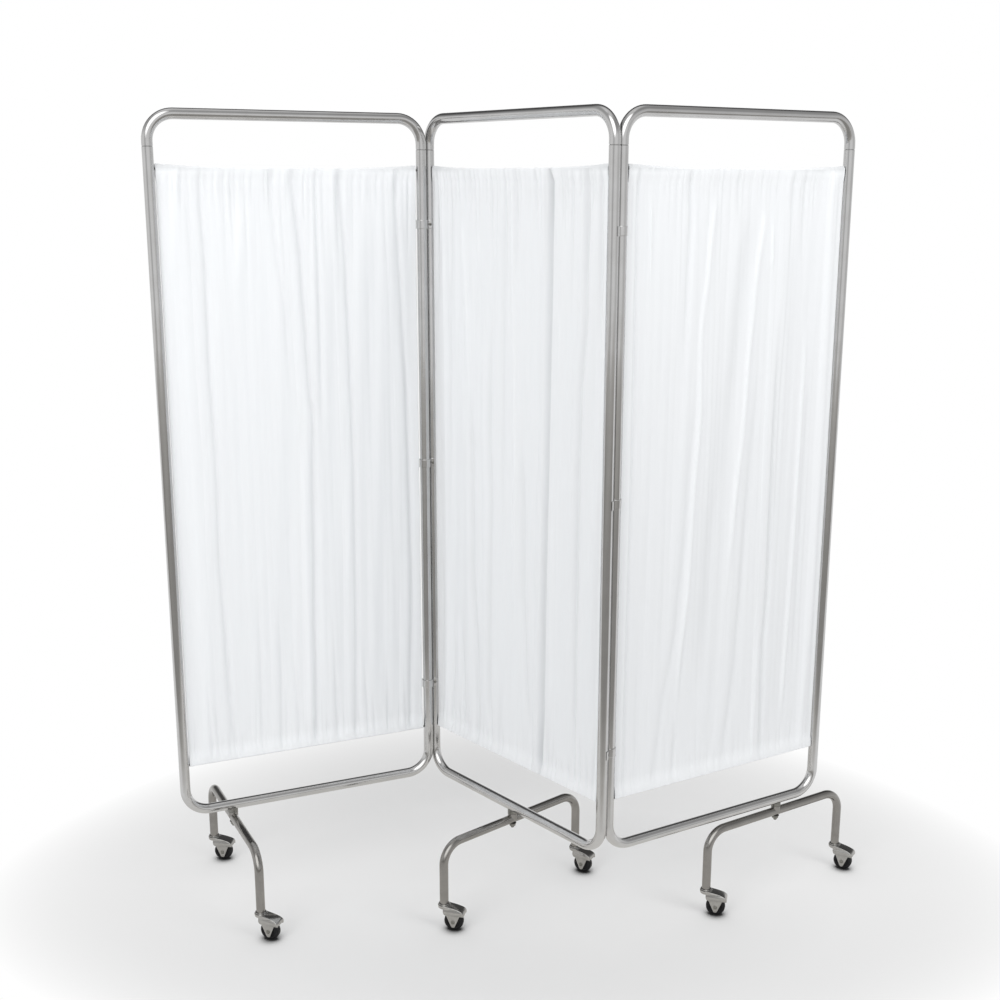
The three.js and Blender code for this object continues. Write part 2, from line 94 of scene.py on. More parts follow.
def smooth(share: float) -> float:
    """A step from zero to one with soft ends."""
    share = min(max(share, 0.0), 1.0)
    return share * share * (3 - 2 * share)


def heading_vector(degrees: float) -> Vector:
    """The level unit vector at an angle from +X."""
    return Vector((math.cos(math.radians(degrees)), math.sin(math.radians(degrees)), 0.0))


def put(name: str, data: bpy.types.ID) -> bpy.types.Object:
    """Puts a new object with its data into the scene, and returns it."""
    made = bpy.data.objects.new(name, data)
    bpy.context.scene.collection.objects.link(made)
    return made


class Nodes:
    """The node tree of a material or a world, made anew."""

    def __init__(self, owner: bpy.types.Material | bpy.types.World) -> None:
        """Clears the owner's tree."""
        owner.use_nodes = True
        self.tree = owner.node_tree
        self.tree.nodes.clear()

    def add(
        self, kind: str, feeds: dict[str | int, Feed] | None = None, **settings: object
    ) -> bpy.types.Node:
        """Adds one node with its settings, input values and links.

        Args:
            kind: The node's type name after ShaderNode.
            feeds: Input names or numbers, each with a value or with the socket that feeds it.
            settings: The node's own properties.

        Returns:
            The new node.
        """
        node = self.tree.nodes.new(f"ShaderNode{kind}")
        for name, value in settings.items():
            setattr(node, name, value)
        for key, value in (feeds or {}).items():
            if isinstance(value, Socket):
                self.tree.links.new(value, node.inputs[key])
            else:
                node.inputs[key].default_value = value
        return node

    def maths(self, operation: str, *values: Feed) -> Socket:
        """Adds a maths node, and returns its output."""
        return self.add("Math", dict(enumerate(values)), operation=operation).outputs[0]

    def mix(self, share: Feed, first: Feed, second: Feed, blend: str = "MIX") -> Socket:
        """Mixes two colours by a share, and returns the colour."""
        return self.add("Mix", {0: share, 6: first, 7: second}, data_type="RGBA", blend_type=blend).outputs[2]

    def spread(
        self, value: Feed, start: float, end: float, low: float, high: float, kind: str = "LINEAR"
    ) -> Socket:
        """Maps the range from start to end onto that from low to high, and returns the output."""
        feeds = {0: value, 1: start, 2: end, 3: low, 4: high}
        return self.add("MapRange", feeds, interpolation_type=kind).outputs[0]

    def cloud(self, place: Socket, scale: float, detail: float) -> Socket:
        """Adds a noise texture, and returns its level."""
        return self.add("TexNoise", {"Vector": place, "Scale": scale, "Detail": detail}).outputs[0]

    def ray(self, kind: str) -> Socket:
        """Whether a ray is of a kind, such as a glossy one."""
        return self.add("LightPath").outputs[f"Is {kind} Ray"]

    def ramp(self, share: Socket, stops: Sequence[tuple[float, float]]) -> Socket:
        """Adds a ramp of grey levels.

        Args:
            share: What runs along the ramp.
            stops: Each stop's place and level.

        Returns:
            The ramp's colour.
        """
        node = self.add("ValToRGB", {"Fac": share})
        elements = node.color_ramp.elements
        while len(elements) < len(stops):
            elements.new(0.5)
        for element, (at, level) in zip(elements, stops):
            element.position = at
            element.color = (level, level, level, 1)
        return node.outputs["Color"]


@dataclass(frozen=True)
class Finish:
    """What all finishes share: a name, its slot, two near colours and a surface."""

    name: str
    slot: Slot
    colour: str
    tint: str
    roughness: float
    metallic: float
    patch_mm: float
    grain_mm: float
    grain_depth: float
    shine: float = 0.5
    glossiest: float = 0.8
    dullest: float = 1.3
    grain_height: float = 0.2

    def material(self) -> bpy.types.Material:
        """Builds the finish's material, once.

        Returns:
            The material.
        """
        found = bpy.data.materials.get(self.name)
        if found is not None:
            return found
        made = bpy.data.materials.new(self.name)
        nodes = Nodes(made)
        feeds = {"Metallic": self.metallic, "Specular IOR Level": self.shine, **self.feeds(nodes)}
        nodes.add("OutputMaterial", {"Surface": nodes.add("BsdfPrincipled", feeds).outputs[0]})
        return made

    def feeds(self, nodes: Nodes) -> dict[str, Feed]:
        """Makes colour and roughness that vary in patches, and a fine grain.

        Args:
            nodes: The material's node tree.

        Returns:
            What feeds each input of the Principled shader.
        """
        place = nodes.add("TexCoord").outputs["Object"]
        patches = nodes.cloud(place, 1 / (self.patch_mm * MM), 3.0)
        grain = nodes.cloud(place, 1 / (self.grain_mm * MM), 2.0)
        rough = (self.roughness * self.glossiest, self.roughness * self.dullest)
        height = self.grain_mm * MM * self.grain_height
        relief = {"Height": grain, "Strength": self.grain_depth, "Distance": height}
        return {
            "Base Color": nodes.mix(patches, linear(self.colour), linear(self.tint)),
            "Roughness": nodes.spread(patches, 0.3, 0.7, *rough),
            "Normal": nodes.add("Bump", relief).outputs[0],
        }


@dataclass(frozen=True)
class Voile(Finish):
    """Thin white polyester voile: a soft matt cloth with slubs down its length."""

    hem_colour: str = "#f4f6f8"
    # How much darker the cloth is painted where the crease attribute is full: painted shade
    painted_crease_shade: float = 0.07
    slub_mm: float = 3.0
    slub_length_mm: float = 90.0
    thread_mm: float = 1.2

    def feeds(self, nodes: Nodes) -> dict[str, Feed]:
        """Makes the slubs, the lighter hems, the painted shade in creases, the painted light on ridges and
        the weave.

        Args:
            nodes: The material's node tree.

        Returns:
            What feeds each input of the Principled shader.
        """
        cloth = nodes.add("UVMap", uv_map="cloth").outputs[0]
        grid = (1 / (self.slub_mm * MM), 1 / (self.slub_length_mm * MM), 1.0)
        slubs = nodes.cloud(nodes.add("Mapping", {"Vector": cloth, "Scale": grid}).outputs[0], 1.0, 2.0)
        body = nodes.mix(slubs, linear(self.colour), linear(self.tint))
        hem = nodes.add("Attribute", attribute_name="hem").outputs["Fac"]
        # The crease attribute is painted shade: it darkens the cloth in creases and along the upper rod's
        # line, and lightens it on ridges
        crease = nodes.add("Attribute", attribute_name="crease").outputs["Fac"]
        hemmed = nodes.mix(hem, body, linear(self.hem_colour))
        level = nodes.maths("MULTIPLY_ADD", crease, -self.painted_crease_shade, 1.0)
        colour = nodes.add("VectorMath", {0: hemmed, "Scale": level}, operation="SCALE").outputs[0]
        # The real threads are about 0.3 mm apart. They are drawn four times as coarse, so that they show.
        wave = {"Vector": cloth, "Scale": 1 / (self.thread_mm * MM) / 20 * math.pi, "Distortion": 0.6}
        threads = [nodes.add("TexWave", wave, bands_direction=way).outputs["Fac"] for way in ("X", "Y")]
        weave = nodes.maths("MULTIPLY", *threads)
        relief = {"Height": weave, "Strength": self.grain_depth, "Distance": 0.0001}
        return {
            "Base Color": colour,
            "Normal": nodes.add("Bump", relief).outputs[0],
            "Roughness": self.roughness,
            "Sheen Weight": 0.25,
            "Sheen Roughness": 0.5,
            "Specular IOR Level": 0.3,
        }


# Chrome plate over drawn steel tube: mirror bright, faintly warm, with soft handling marks
TUBE_CHROME = Finish("chromed_steel_tube", Slot.TUBE, "#c8c8c8", "#b6b5b4", 0.11, 1.0, 45.0, 1.4, 0.02)
# The legs' plate is darker, greyer and duller than the frame's
LEG_CHROME = Finish("dulled_chromed_leg_tube", Slot.TUBE, "#9a9895", "#807e7b", 0.17, 1.0, 30.0, 1.2, 0.01)
# Chrome plate over pressed sheet steel: bright metal with tight highlights on its rounded edges
PRESSED_CHROME = Finish("chromed_pressed_steel", Slot.CASTER, "#b0afad", "#9b9a97", 0.13, 1.0, 9.0, 0.8, 0.03)
# Zinc-plated turned steel: grey, a little cloudy
ZINC_STEEL = Finish("zinc_plated_steel", Slot.ZINC, "#8d8c88", "#74736e", 0.38, 1.0, 6.0, 0.5, 0.06)
# Moulded black rubber: satin, almost black, with dust in its pores
BLACK_RUBBER = Finish(
    "moulded_black_rubber", Slot.RUBBER, "#0e0e10", "#19191a", 0.55, 0.0, 5.0, 0.6, 0.12, 0.22
)
# Polyester voile: a bright, soft white without gloss, whiter where hem and pocket double it
CURTAIN_VOILE = Voile("white_polyester_voile", Slot.CLOTH, "#eff1f3", "#f3f5f7", 0.9, 0.0, 40.0, 1.2, 0.12)


class Shape:
    """A mesh in the making, in metres, in the space of the thing that it belongs to."""

    def __init__(self) -> None:
        """Starts empty."""
        self.bm = bmesh.new()

    def extrude(self, faces: list[bmesh.types.BMFace], run: Sequence[float], keep: bool = True) -> list:
        """Draws faces out along a vector.

        Args:
            faces: The faces.
            run: The vector.
            keep: Whether the faces also stay where they were.

        Returns:
            The vertices, edges and faces that this made.
        """
        made = bmesh.ops.extrude_face_region(self.bm, geom=faces, use_keep_orig=keep)["geom"]
        points = [v for v in made if isinstance(v, bmesh.types.BMVert)]
        bmesh.ops.translate(self.bm, verts=points, vec=run)
        return made

    def spin(
        self, geom: list, degrees: float, steps: int, merge: bool = False,
        centre: Sequence[float] = (0, 0, 0), axis: Sequence[float] = (0, 0, 1),
    ) -> list:
        """Sweeps parts of the mesh about an axis, the upright one unless another is given.

        Args:
            geom: The vertices, edges and faces to sweep.
            degrees: How far.
            steps: In how many steps.
            merge: Whether the last step is joined to the first.
            centre: A point of the axis.
            axis: The axis' direction.

        Returns:
            What the last step made.
        """
        return bmesh.ops.spin(
            self.bm, geom=geom, cent=centre, axis=axis, dvec=(0, 0, 0),
            angle=math.radians(degrees), steps=steps, use_merge=merge,
        )["geom_last"]

    def lathe(self, profile: Sequence[tuple[float, float]], steps: int) -> "Shape":
        """Turns a profile about the upright axis.

        Args:
            profile: Radius and height of each point, from one end of the outline to the other.
            steps: Facets round the axis.

        Returns:
            This shape.
        """
        turned = Shape()
        points = [turned.bm.verts.new((r, 0.0, z)) for r, z in profile]
        edges = [turned.bm.edges.new(pair) for pair in zip(points, points[1:])]
        turned.spin(points + edges, 360, steps, merge=True)
        bmesh.ops.remove_doubles(turned.bm, verts=turned.bm.verts, dist=NEAR)
        bmesh.ops.recalc_face_normals(turned.bm, faces=turned.bm.faces)
        return self.add(turned)

    def prism(self, outline: Sequence[tuple[float, float]], half_width: float) -> list[bmesh.types.BMFace]:
        """Raises an outline in the X and Z plane to both sides along Y.

        Args:
            outline: The outline's points, counter-clockwise as seen from -Y.
            half_width: How far it reaches to each side.

        Returns:
            The faces of its rim.
        """
        near = self.bm.faces.new([self.bm.verts.new((x, -half_width, z)) for x, z in outline])
        made = self.extrude([near], (0, 2 * half_width, 0))
        far = [f for f in made if isinstance(f, bmesh.types.BMFace) and len(f.verts) == len(outline)]
        rim = [f for f in self.bm.faces if f is not near and f not in far]
        bmesh.ops.recalc_face_normals(self.bm, faces=self.bm.faces)
        return rim

    def bar(self, sides: int, radius: float, length: float) -> "Shape":
        """Makes an upright bar of a regular section.

        Args:
            sides: How many sides the section has.
            radius: From its middle to a corner.
            length: How tall it is.

        Returns:
            This shape.
        """
        bmesh.ops.create_circle(self.bm, cap_ends=True, segments=sides, radius=radius)
        self.extrude(list(self.bm.faces), (0, 0, length))
        bmesh.ops.recalc_face_normals(self.bm, faces=self.bm.faces)
        return self

    def mesh(self, name: str) -> bpy.types.Mesh:
        """Writes the shape to a new mesh, and frees it.

        Args:
            name: The mesh's name.

        Returns:
            The mesh.
        """
        made = bpy.data.meshes.new(name)
        self.bm.to_mesh(made)
        self.bm.free()
        return made

    def add(self, other: "Shape") -> "Shape":
        """Takes in another shape.

        Args:
            other: The other shape, which is used up.

        Returns:
            This shape.
        """
        held = other.mesh("held")
        self.bm.from_mesh(held)
        bpy.data.meshes.remove(held)
        return self

    def move(self, matrix: Matrix) -> "Shape":
        """Moves the whole shape by a matrix, and returns it."""
        bmesh.ops.transform(self.bm, matrix=matrix, verts=self.bm.verts)
        return self

    def ring_cuts(self, heights: Iterable[float]) -> None:
        """Cuts level rings into the mesh, so that a smooth face beside a bevel shades flat.

        Args:
            heights: Where the rings go.
        """
        for height in heights:
            everything = [*self.bm.verts, *self.bm.edges, *self.bm.faces]
            bmesh.ops.bisect_plane(
                self.bm, geom=everything, dist=NEAR, plane_co=(0, 0, height), plane_no=(0, 0, 1)
            )

    def bevel(self, edges: list[bmesh.types.BMEdge], width: float, segments: int) -> None:
        """Rounds edges off in some steps.

        Args:
            edges: The edges.
            width: The bevel's width.
            segments: Its steps.
        """
        bmesh.ops.bevel(
            self.bm, geom=edges, offset=width, offset_type="OFFSET", segments=segments,
            profile=0.5, affect="EDGES", material=-1, clamp_overlap=True,
        )

    def soften(self, width: float, segments: int, over_degrees: float) -> "Shape":
        """Bevels the edges that are sharper than an angle.

        Args:
            width: The bevel's width.
            segments: Its steps.
            over_degrees: The least angle between two faces whose edge is bevelled.

        Returns:
            This shape.
        """
        limit = math.radians(over_degrees)
        sharp = [e for e in self.bm.edges if e.is_manifold and e.calc_face_angle(0.0) > limit]
        self.bevel(sharp, width, segments)
        return self

    def piece(self, node: str, suffix: str, finish: Finish, body: str) -> bpy.types.Object:
        """Ends the making: an object that rides on its body and stands for its CAD node.

        Args:
            node: The CAD node that it stands for.
            suffix: What its name adds to the node's.
            finish: Its finish.
            body: The body that it moves with.

        Returns:
            The object.
        """
        for face in self.bm.faces:
            face.smooth = True
        for edge in self.bm.edges:
            edge.smooth = not edge.is_manifold or edge.calc_face_angle(0.0) < CREASE_OVER
        name = f"{node}_{suffix}"
        made = put(name, self.mesh(name))
        made.data.materials.append(finish.material())
        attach(made, body)
        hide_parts(node)
        log.info("%s: %d faces on %s", name, len(made.data.polygons), body)
        return made


@dataclass
class TubeRun:
    """A bent round tube, drawn on from its first end in straight lengths and bends."""

    start: Vector
    heading: Vector
    radius: float
    lip: float = 0.0004
    sides: int = 40
    shape: Shape = field(default_factory=Shape)

    def __post_init__(self) -> None:
        """Lays the first ring across the tube's start."""
        turn = UP.rotation_difference(self.heading).to_matrix().to_4x4()
        place = Matrix.Translation(self.start) @ turn
        ring = bmesh.ops.create_circle(
            self.shape.bm, cap_ends=False, segments=self.sides, radius=self.radius, matrix=place
        )["verts"]
        self.at = self.start.copy()
        self.first = list({e for v in ring for e in v.link_edges})
        self.ring = list(self.first)

    def straight(self, length: float) -> "TubeRun":
        """Draws the tube on by a length.

        Args:
            length: How far.

        Returns:
            This run.
        """
        made = bmesh.ops.extrude_edge_only(self.shape.bm, edges=self.ring)["geom"]
        points = [v for v in made if isinstance(v, bmesh.types.BMVert)]
        bmesh.ops.translate(self.shape.bm, verts=points, vec=self.heading * length)
        ahead = set(points)
        self.ring = [e for e in made if isinstance(e, bmesh.types.BMEdge) and set(e.verts) <= ahead]
        self.at += self.heading * length
        return self

    def bend(self, toward: Vector, radius: float, steps: int = 14) -> "TubeRun":
        """Bends the tube by a right angle toward a direction.

        Args:
            toward: The direction that it runs in afterwards.
            radius: The bend's radius on the tube's centreline.
            steps: Rings along the bend.

        Returns:
            This run.
        """
        centre = self.at + toward * radius
        points = list({v for e in self.ring for v in e.verts})
        made = self.shape.spin(points + self.ring, 90, steps, centre=centre, axis=self.heading.cross(toward))
        self.ring = [e for e in made if isinstance(e, bmesh.types.BMEdge)]
        self.at = centre + self.heading * radius
        self.heading = toward.copy()
        return self

    def close(self, ring: list[bmesh.types.BMEdge], inset: float, depth: float, out: Vector) -> None:
        """Ends one end of the tube with a chamfered lip and a bore or a plug.

        Args:
            ring: The end's edges.
            inset: How far the bore or plug lies inside the tube's skin.
            depth: How far it runs on, or back into the tube if negative.
            out: The direction out of that end.
        """
        bm, lip = self.shape.bm, self.lip
        lid = bmesh.ops.edgeloop_fill(bm, edges=ring)["faces"]
        bmesh.ops.inset_region(bm, faces=lid, thickness=lip, depth=0.0, use_even_offset=True)
        bmesh.ops.translate(bm, verts=list({v for f in lid for v in f.verts}), vec=out * lip)
        bmesh.ops.inset_region(bm, faces=lid, thickness=inset - lip, depth=0.0, use_even_offset=True)
        self.shape.extrude(lid, out * depth, keep=False)

    def ends(self, inset: float, depth: float, first_out: Vector) -> Shape:
        """Closes both ends alike, and returns the tube's shape.

        Args:
            inset: How far the bore or plug lies inside the skin.
            depth: How far it runs on, or back into the tube if negative.
            first_out: The direction out of the first end.

        Returns:
            The finished tube.
        """
        self.close(self.first, inset, depth, first_out)
        self.close(self.ring, inset, depth, self.heading)
        bmesh.ops.recalc_face_normals(self.shape.bm, faces=self.shape.bm.faces)
        return self.shape


@dataclass(frozen=True)
class Spot:
    """A place on the floor plan with a heading."""

    at: Vector
    degrees: float

    def matrix(self) -> Matrix:
        """The matrix from the thing's own space to the screen's."""
        return Matrix.Translation(self.at) @ Matrix.Rotation(math.radians(self.degrees), 4, "Z")


@dataclass(frozen=True)
class FrameSizes:
    """The sizes that all three panels share, in metres."""

    width: float = 0.568
    rail: float = 0.222
    height: float = 1.465
    tube: float = 0.011
    wall: float = 0.0012
    bend: float = 0.052
    seam_drop: float = 0.062
    plug: float = 0.035
    top_rod_drop: float = 0.104
    bottom_rod_rise: float = 0.109

    @property
    def top(self) -> float:
        """The height of the upper rail's centreline."""
        return self.rail + self.height

    @property
    def seam(self) -> float:
        """The height of the seam between bow and uprights."""
        return self.top - self.seam_drop


SIZES = FrameSizes()


@dataclass
class PanelFrame:
    """One panel's two bent tubes."""

    number: int
    spot: Spot
    body: str
    lip: float = 0.0009
    bore_over: float = 0.002

    def build(self) -> None:
        """Makes the upper bow and the lower frame, and dresses both in chrome."""
        reach = SIZES.width - 2 * SIZES.bend
        bow = TubeRun(Vector((0, 0, SIZES.seam + self.lip)), UP, SIZES.tube, self.lip)
        end = SIZES.seam_drop - SIZES.bend - self.lip
        bow.straight(end).bend(ACROSS, SIZES.bend).straight(reach).bend(-UP, SIZES.bend).straight(end)
        self.dress(bow.ends(SIZES.wall + GAP, SIZES.plug, -UP), "top_bow")
        start = SIZES.seam - GAP - self.lip
        upright = start - SIZES.rail - SIZES.bend
        lower = TubeRun(Vector((0, 0, start)), -UP, SIZES.tube, self.lip)
        lower.straight(upright).bend(ACROSS, SIZES.bend).straight(reach)
        lower.bend(UP, SIZES.bend).straight(upright)
        self.dress(lower.ends(SIZES.wall, -(SIZES.plug + self.bore_over), UP), "lower_frame")

    def dress(self, shape: Shape, part: str) -> None:
        """Puts one of the tubes in its place as a piece."""
        shape.move(self.spot.matrix()).piece(f"panel{self.number}_{part}", "tube", TUBE_CHROME, self.body)


@dataclass(frozen=True)
class Fold:
    """One crease or ridge that runs down a curtain.

    Its knots are millimetres across from the left upright's axis and down from the upper rod. A positive
    depth is a crease, away from the viewer, and a negative one is a ridge.
    """

    knots: tuple[tuple[float, float], ...]
    depth: float
    width: float = 3.2
    fade_in: float = 1.0
    fade_out: float = 1.0

    def across(self, down: float) -> float:
        """How far across the fold lies at a height.

        Args:
            down: Millimetres from the upper rod.

        Returns:
            Millimetres from the left upright's axis.
        """
        for (x0, d0), (x1, d1) in zip(self.knots, self.knots[1:]):
            if down <= d1:
                share = (down - d0) / (d1 - d0)
                return x0 + (x1 - x0) * smooth(share) * 0.5 + (x1 - x0) * 0.5 * share
        return self.knots[-1][0]

    def strength(self, down: float) -> float:
        """How strong the fold is at a height, from zero to one."""
        first, last = self.knots[0][1], self.knots[-1][1]
        return smooth((down - first) / self.fade_in) * smooth((last - down) / self.fade_out)

    @staticmethod
    def profile(turn: float) -> float:
        """The fold's section: a narrow valley with a low lap beside it."""
        return -math.exp(-turn * turn) + 0.4 * math.exp(-(((turn + 2.3) / 1.6) ** 2))


# The long folds of each curtain, as they hang in the photograph
LEFT_FOLDS = (
    Fold(((96, 0), (102, 180), (100, 400), (105, 600), (100, 800), (105, 1000), (115, 1252)), 4.6),
    Fold(((60, 0), (76, 130), (92, 330)), 2.0, 4.0, 1, 180),
    Fold(((240, 0), (247, 130), (262, 300), (268, 520)), 2.8, 3.0, 1, 240),
    Fold(
        ((284, 0), (300, 180), (308, 400), (315, 520), (311, 640), (308, 800),
         (303, 1000), (300, 1252)), 6.0,
    ),
    Fold(((335, 0), (335, 300), (332, 640)), 3.4, 2.8, 1, 260),
    Fold(((384, 0), (398, 180), (402, 400), (404, 600), (402, 800), (400, 1000), (393, 1252)), 5.0),
    Fold(((508, 0), (520, 300), (528, 500), (532, 700), (533, 900), (525, 1252)), 4.4),
    Fold(((176, 820), (178, 1000), (176, 1252)), 3.2, 2.6, 260, 1),
    Fold(((222, 860), (224, 1050), (221, 1252)), 3.4, 2.6, 220, 1),
    Fold(((250, 960), (262, 1252)), 2.2, 2.6, 180, 1),
    Fold(((346, 900), (348, 1252)), 3.4, 2.4, 280, 1),
    Fold(((470, 1040), (474, 1252)), 2.4, 2.4, 160, 1),
    Fold(((56, 1000), (64, 1252)), 2.4, 2.6, 200, 1),
    Fold(((490, 420), (494, 820), (492, 1150)), 1.6, 3.4, 200, 200),
    Fold(((170, 60), (172, 130), (168, 260)), -3.2, 15.0, 60, 120),
    Fold(((293, 520), (288, 800), (284, 1230)), -2.6, 8.0, 160, 60),
    Fold(((326, 660), (320, 1150)), -2.0, 7.0, 100, 100),
    Fold(((388, 560), (384, 960)), -2.4, 7.0, 160, 160),
    Fold(((45, 0), (48, 600), (52, 1252)), -3.4, 16.0),
)
MIDDLE_FOLDS = (
    Fold(((136, 420), (146, 600), (149, 880), (159, 1000), (163, 1252)), 3.0, 3.8, 160, 1),
    Fold(((211, 250), (206, 540), (211, 680), (206, 880), (203, 1200)), 2.8, 3.2, 200, 100),
    Fold(((249, 60), (251, 300), (249, 560), (246, 800)), 1.8, 3.4, 60, 240),
    Fold(((306, 500), (314, 700), (314, 860), (326, 1000), (344, 1200)), 2.4, 3.6, 160, 120),
    Fold(
        ((393, 0), (391, 200), (389, 400), (388, 600), (386, 700), (383, 900),
         (381, 1100), (376, 1252)), 6.4,
    ),
    Fold(
        ((496, 0), (496, 180), (499, 280), (486, 420), (483, 600), (481, 800),
         (479, 1200)), 3.4, 3.0, 1, 120,
    ),
    Fold(((536, 0), (539, 400)), 2.4, 3.0, 1, 240),
    Fold(((32, 0), (28, 300)), 2.6, 3.0, 1, 160),
    Fold(((96, 900), (112, 1120), (121, 1252)), 2.0, 3.6, 200, 1),
    Fold(((240, 1040), (238, 1252)), 1.8, 4.0, 140, 1),
    Fold(((402, 1080), (400, 1252)), 2.0, 2.8, 120, 1),
    Fold(((111, 80), (126, 300), (136, 520)), -2.4, 7.0, 60, 200),
    Fold(((279, 20), (281, 280), (286, 400), (290, 1080)), -2.6, 5.0, 40, 500),
    Fold(((166, 110), (171, 230)), -1.8, 5.0, 50, 80),
    Fold(((192, 320), (190, 1000)), -1.6, 7.0, 100, 300),
    Fold(((45, 0), (48, 600), (44, 1252)), -3.4, 14.0),
    Fold(((410, 560), (406, 1150)), -1.8, 7.0, 120, 160),
    Fold(((422, 240), (424, 420)), -1.6, 5.0, 80, 80),
)
RIGHT_FOLDS = (
    Fold(((37, 0), (39, 480), (37, 980), (35, 1252)), 4.2, 2.2),
    Fold(((160, 0), (164, 80), (160, 240), (157, 420)), 3.4, 2.8, 1, 200),
    Fold(((190, 400), (176, 700), (160, 900), (128, 1100), (112, 1252)), 2.6, 4.0, 160, 1),
    Fold(((187, 860), (172, 1080), (161, 1252)), 3.0, 3.0, 160, 1),
    Fold(((322, 40), (290, 330), (262, 560), (240, 780), (228, 1100)), 3.6, 10.0, 120, 200),
    Fold(((352, 380), (342, 560), (332, 800), (322, 1000), (297, 1252)), 2.8, 3.8, 160, 1),
    Fold(((402, 240), (400, 540), (402, 700), (404, 860), (399, 1000), (406, 1252)), 5.6, 3.0, 260, 1),
    Fold(((424, 0), (417, 150), (412, 400), (414, 700), (412, 900)), 2.8, 3.0, 1, 300),
    Fold(((492, 380), (491, 700), (490, 1100)), 2.6, 3.0, 160, 160),
    Fold(((278, 0), (286, 120)), 2.2, 2.4, 1, 80),
    Fold(((452, 0), (455, 210)), 2.2, 2.6, 1, 120),
    Fold(((70, 880), (64, 1252)), 1.6, 3.4, 200, 1),
    Fold(
        ((226, 30), (212, 180), (198, 320), (202, 470), (192, 640), (187, 790),
         (172, 1000), (170, 1200)), -3.0, 6.5, 60, 120,
    ),
    Fold(((352, 60), (332, 240), (322, 400), (316, 520), (300, 700), (290, 900)), -3.2, 7.0, 60, 240),
    Fold(((371, 90), (376, 220)), -2.8, 3.6, 40, 60),
    Fold(((417, 60), (409, 500)), -1.8, 5.0, 60, 200),
    Fold(((478, 280), (474, 700), (462, 1200)), -2.4, 6.0, 120, 120),
    Fold(((68, 40), (70, 240)), -2.4, 3.6, 40, 100),
    Fold(((384, 900), (380, 1252)), -2.0, 6.0, 160, 1),
    Fold(((528, 0), (530, 600), (526, 1252)), -3.4, 15.0),
)


@dataclass(frozen=True)
class Drape:
    """How one curtain hangs: its long folds, how strongly each kind of form shows, and how much shade is
    painted into its creases.
    """

    folds: tuple[Fold, ...]
    crisp: float
    tuck_depth: float
    soft_depth: float
    # How much shade is painted into the creases, beyond the shading that their form gets
    painted_shade: float


DRAPES = (
    Drape(LEFT_FOLDS, 0.85, 1.7, 0.0064, 1.0),
    Drape(MIDDLE_FOLDS, 1.4, 1.6, 0.0060, 1.9),
    Drape(RIGHT_FOLDS, 0.66, 0.9, 0.0038, 1.1),
)


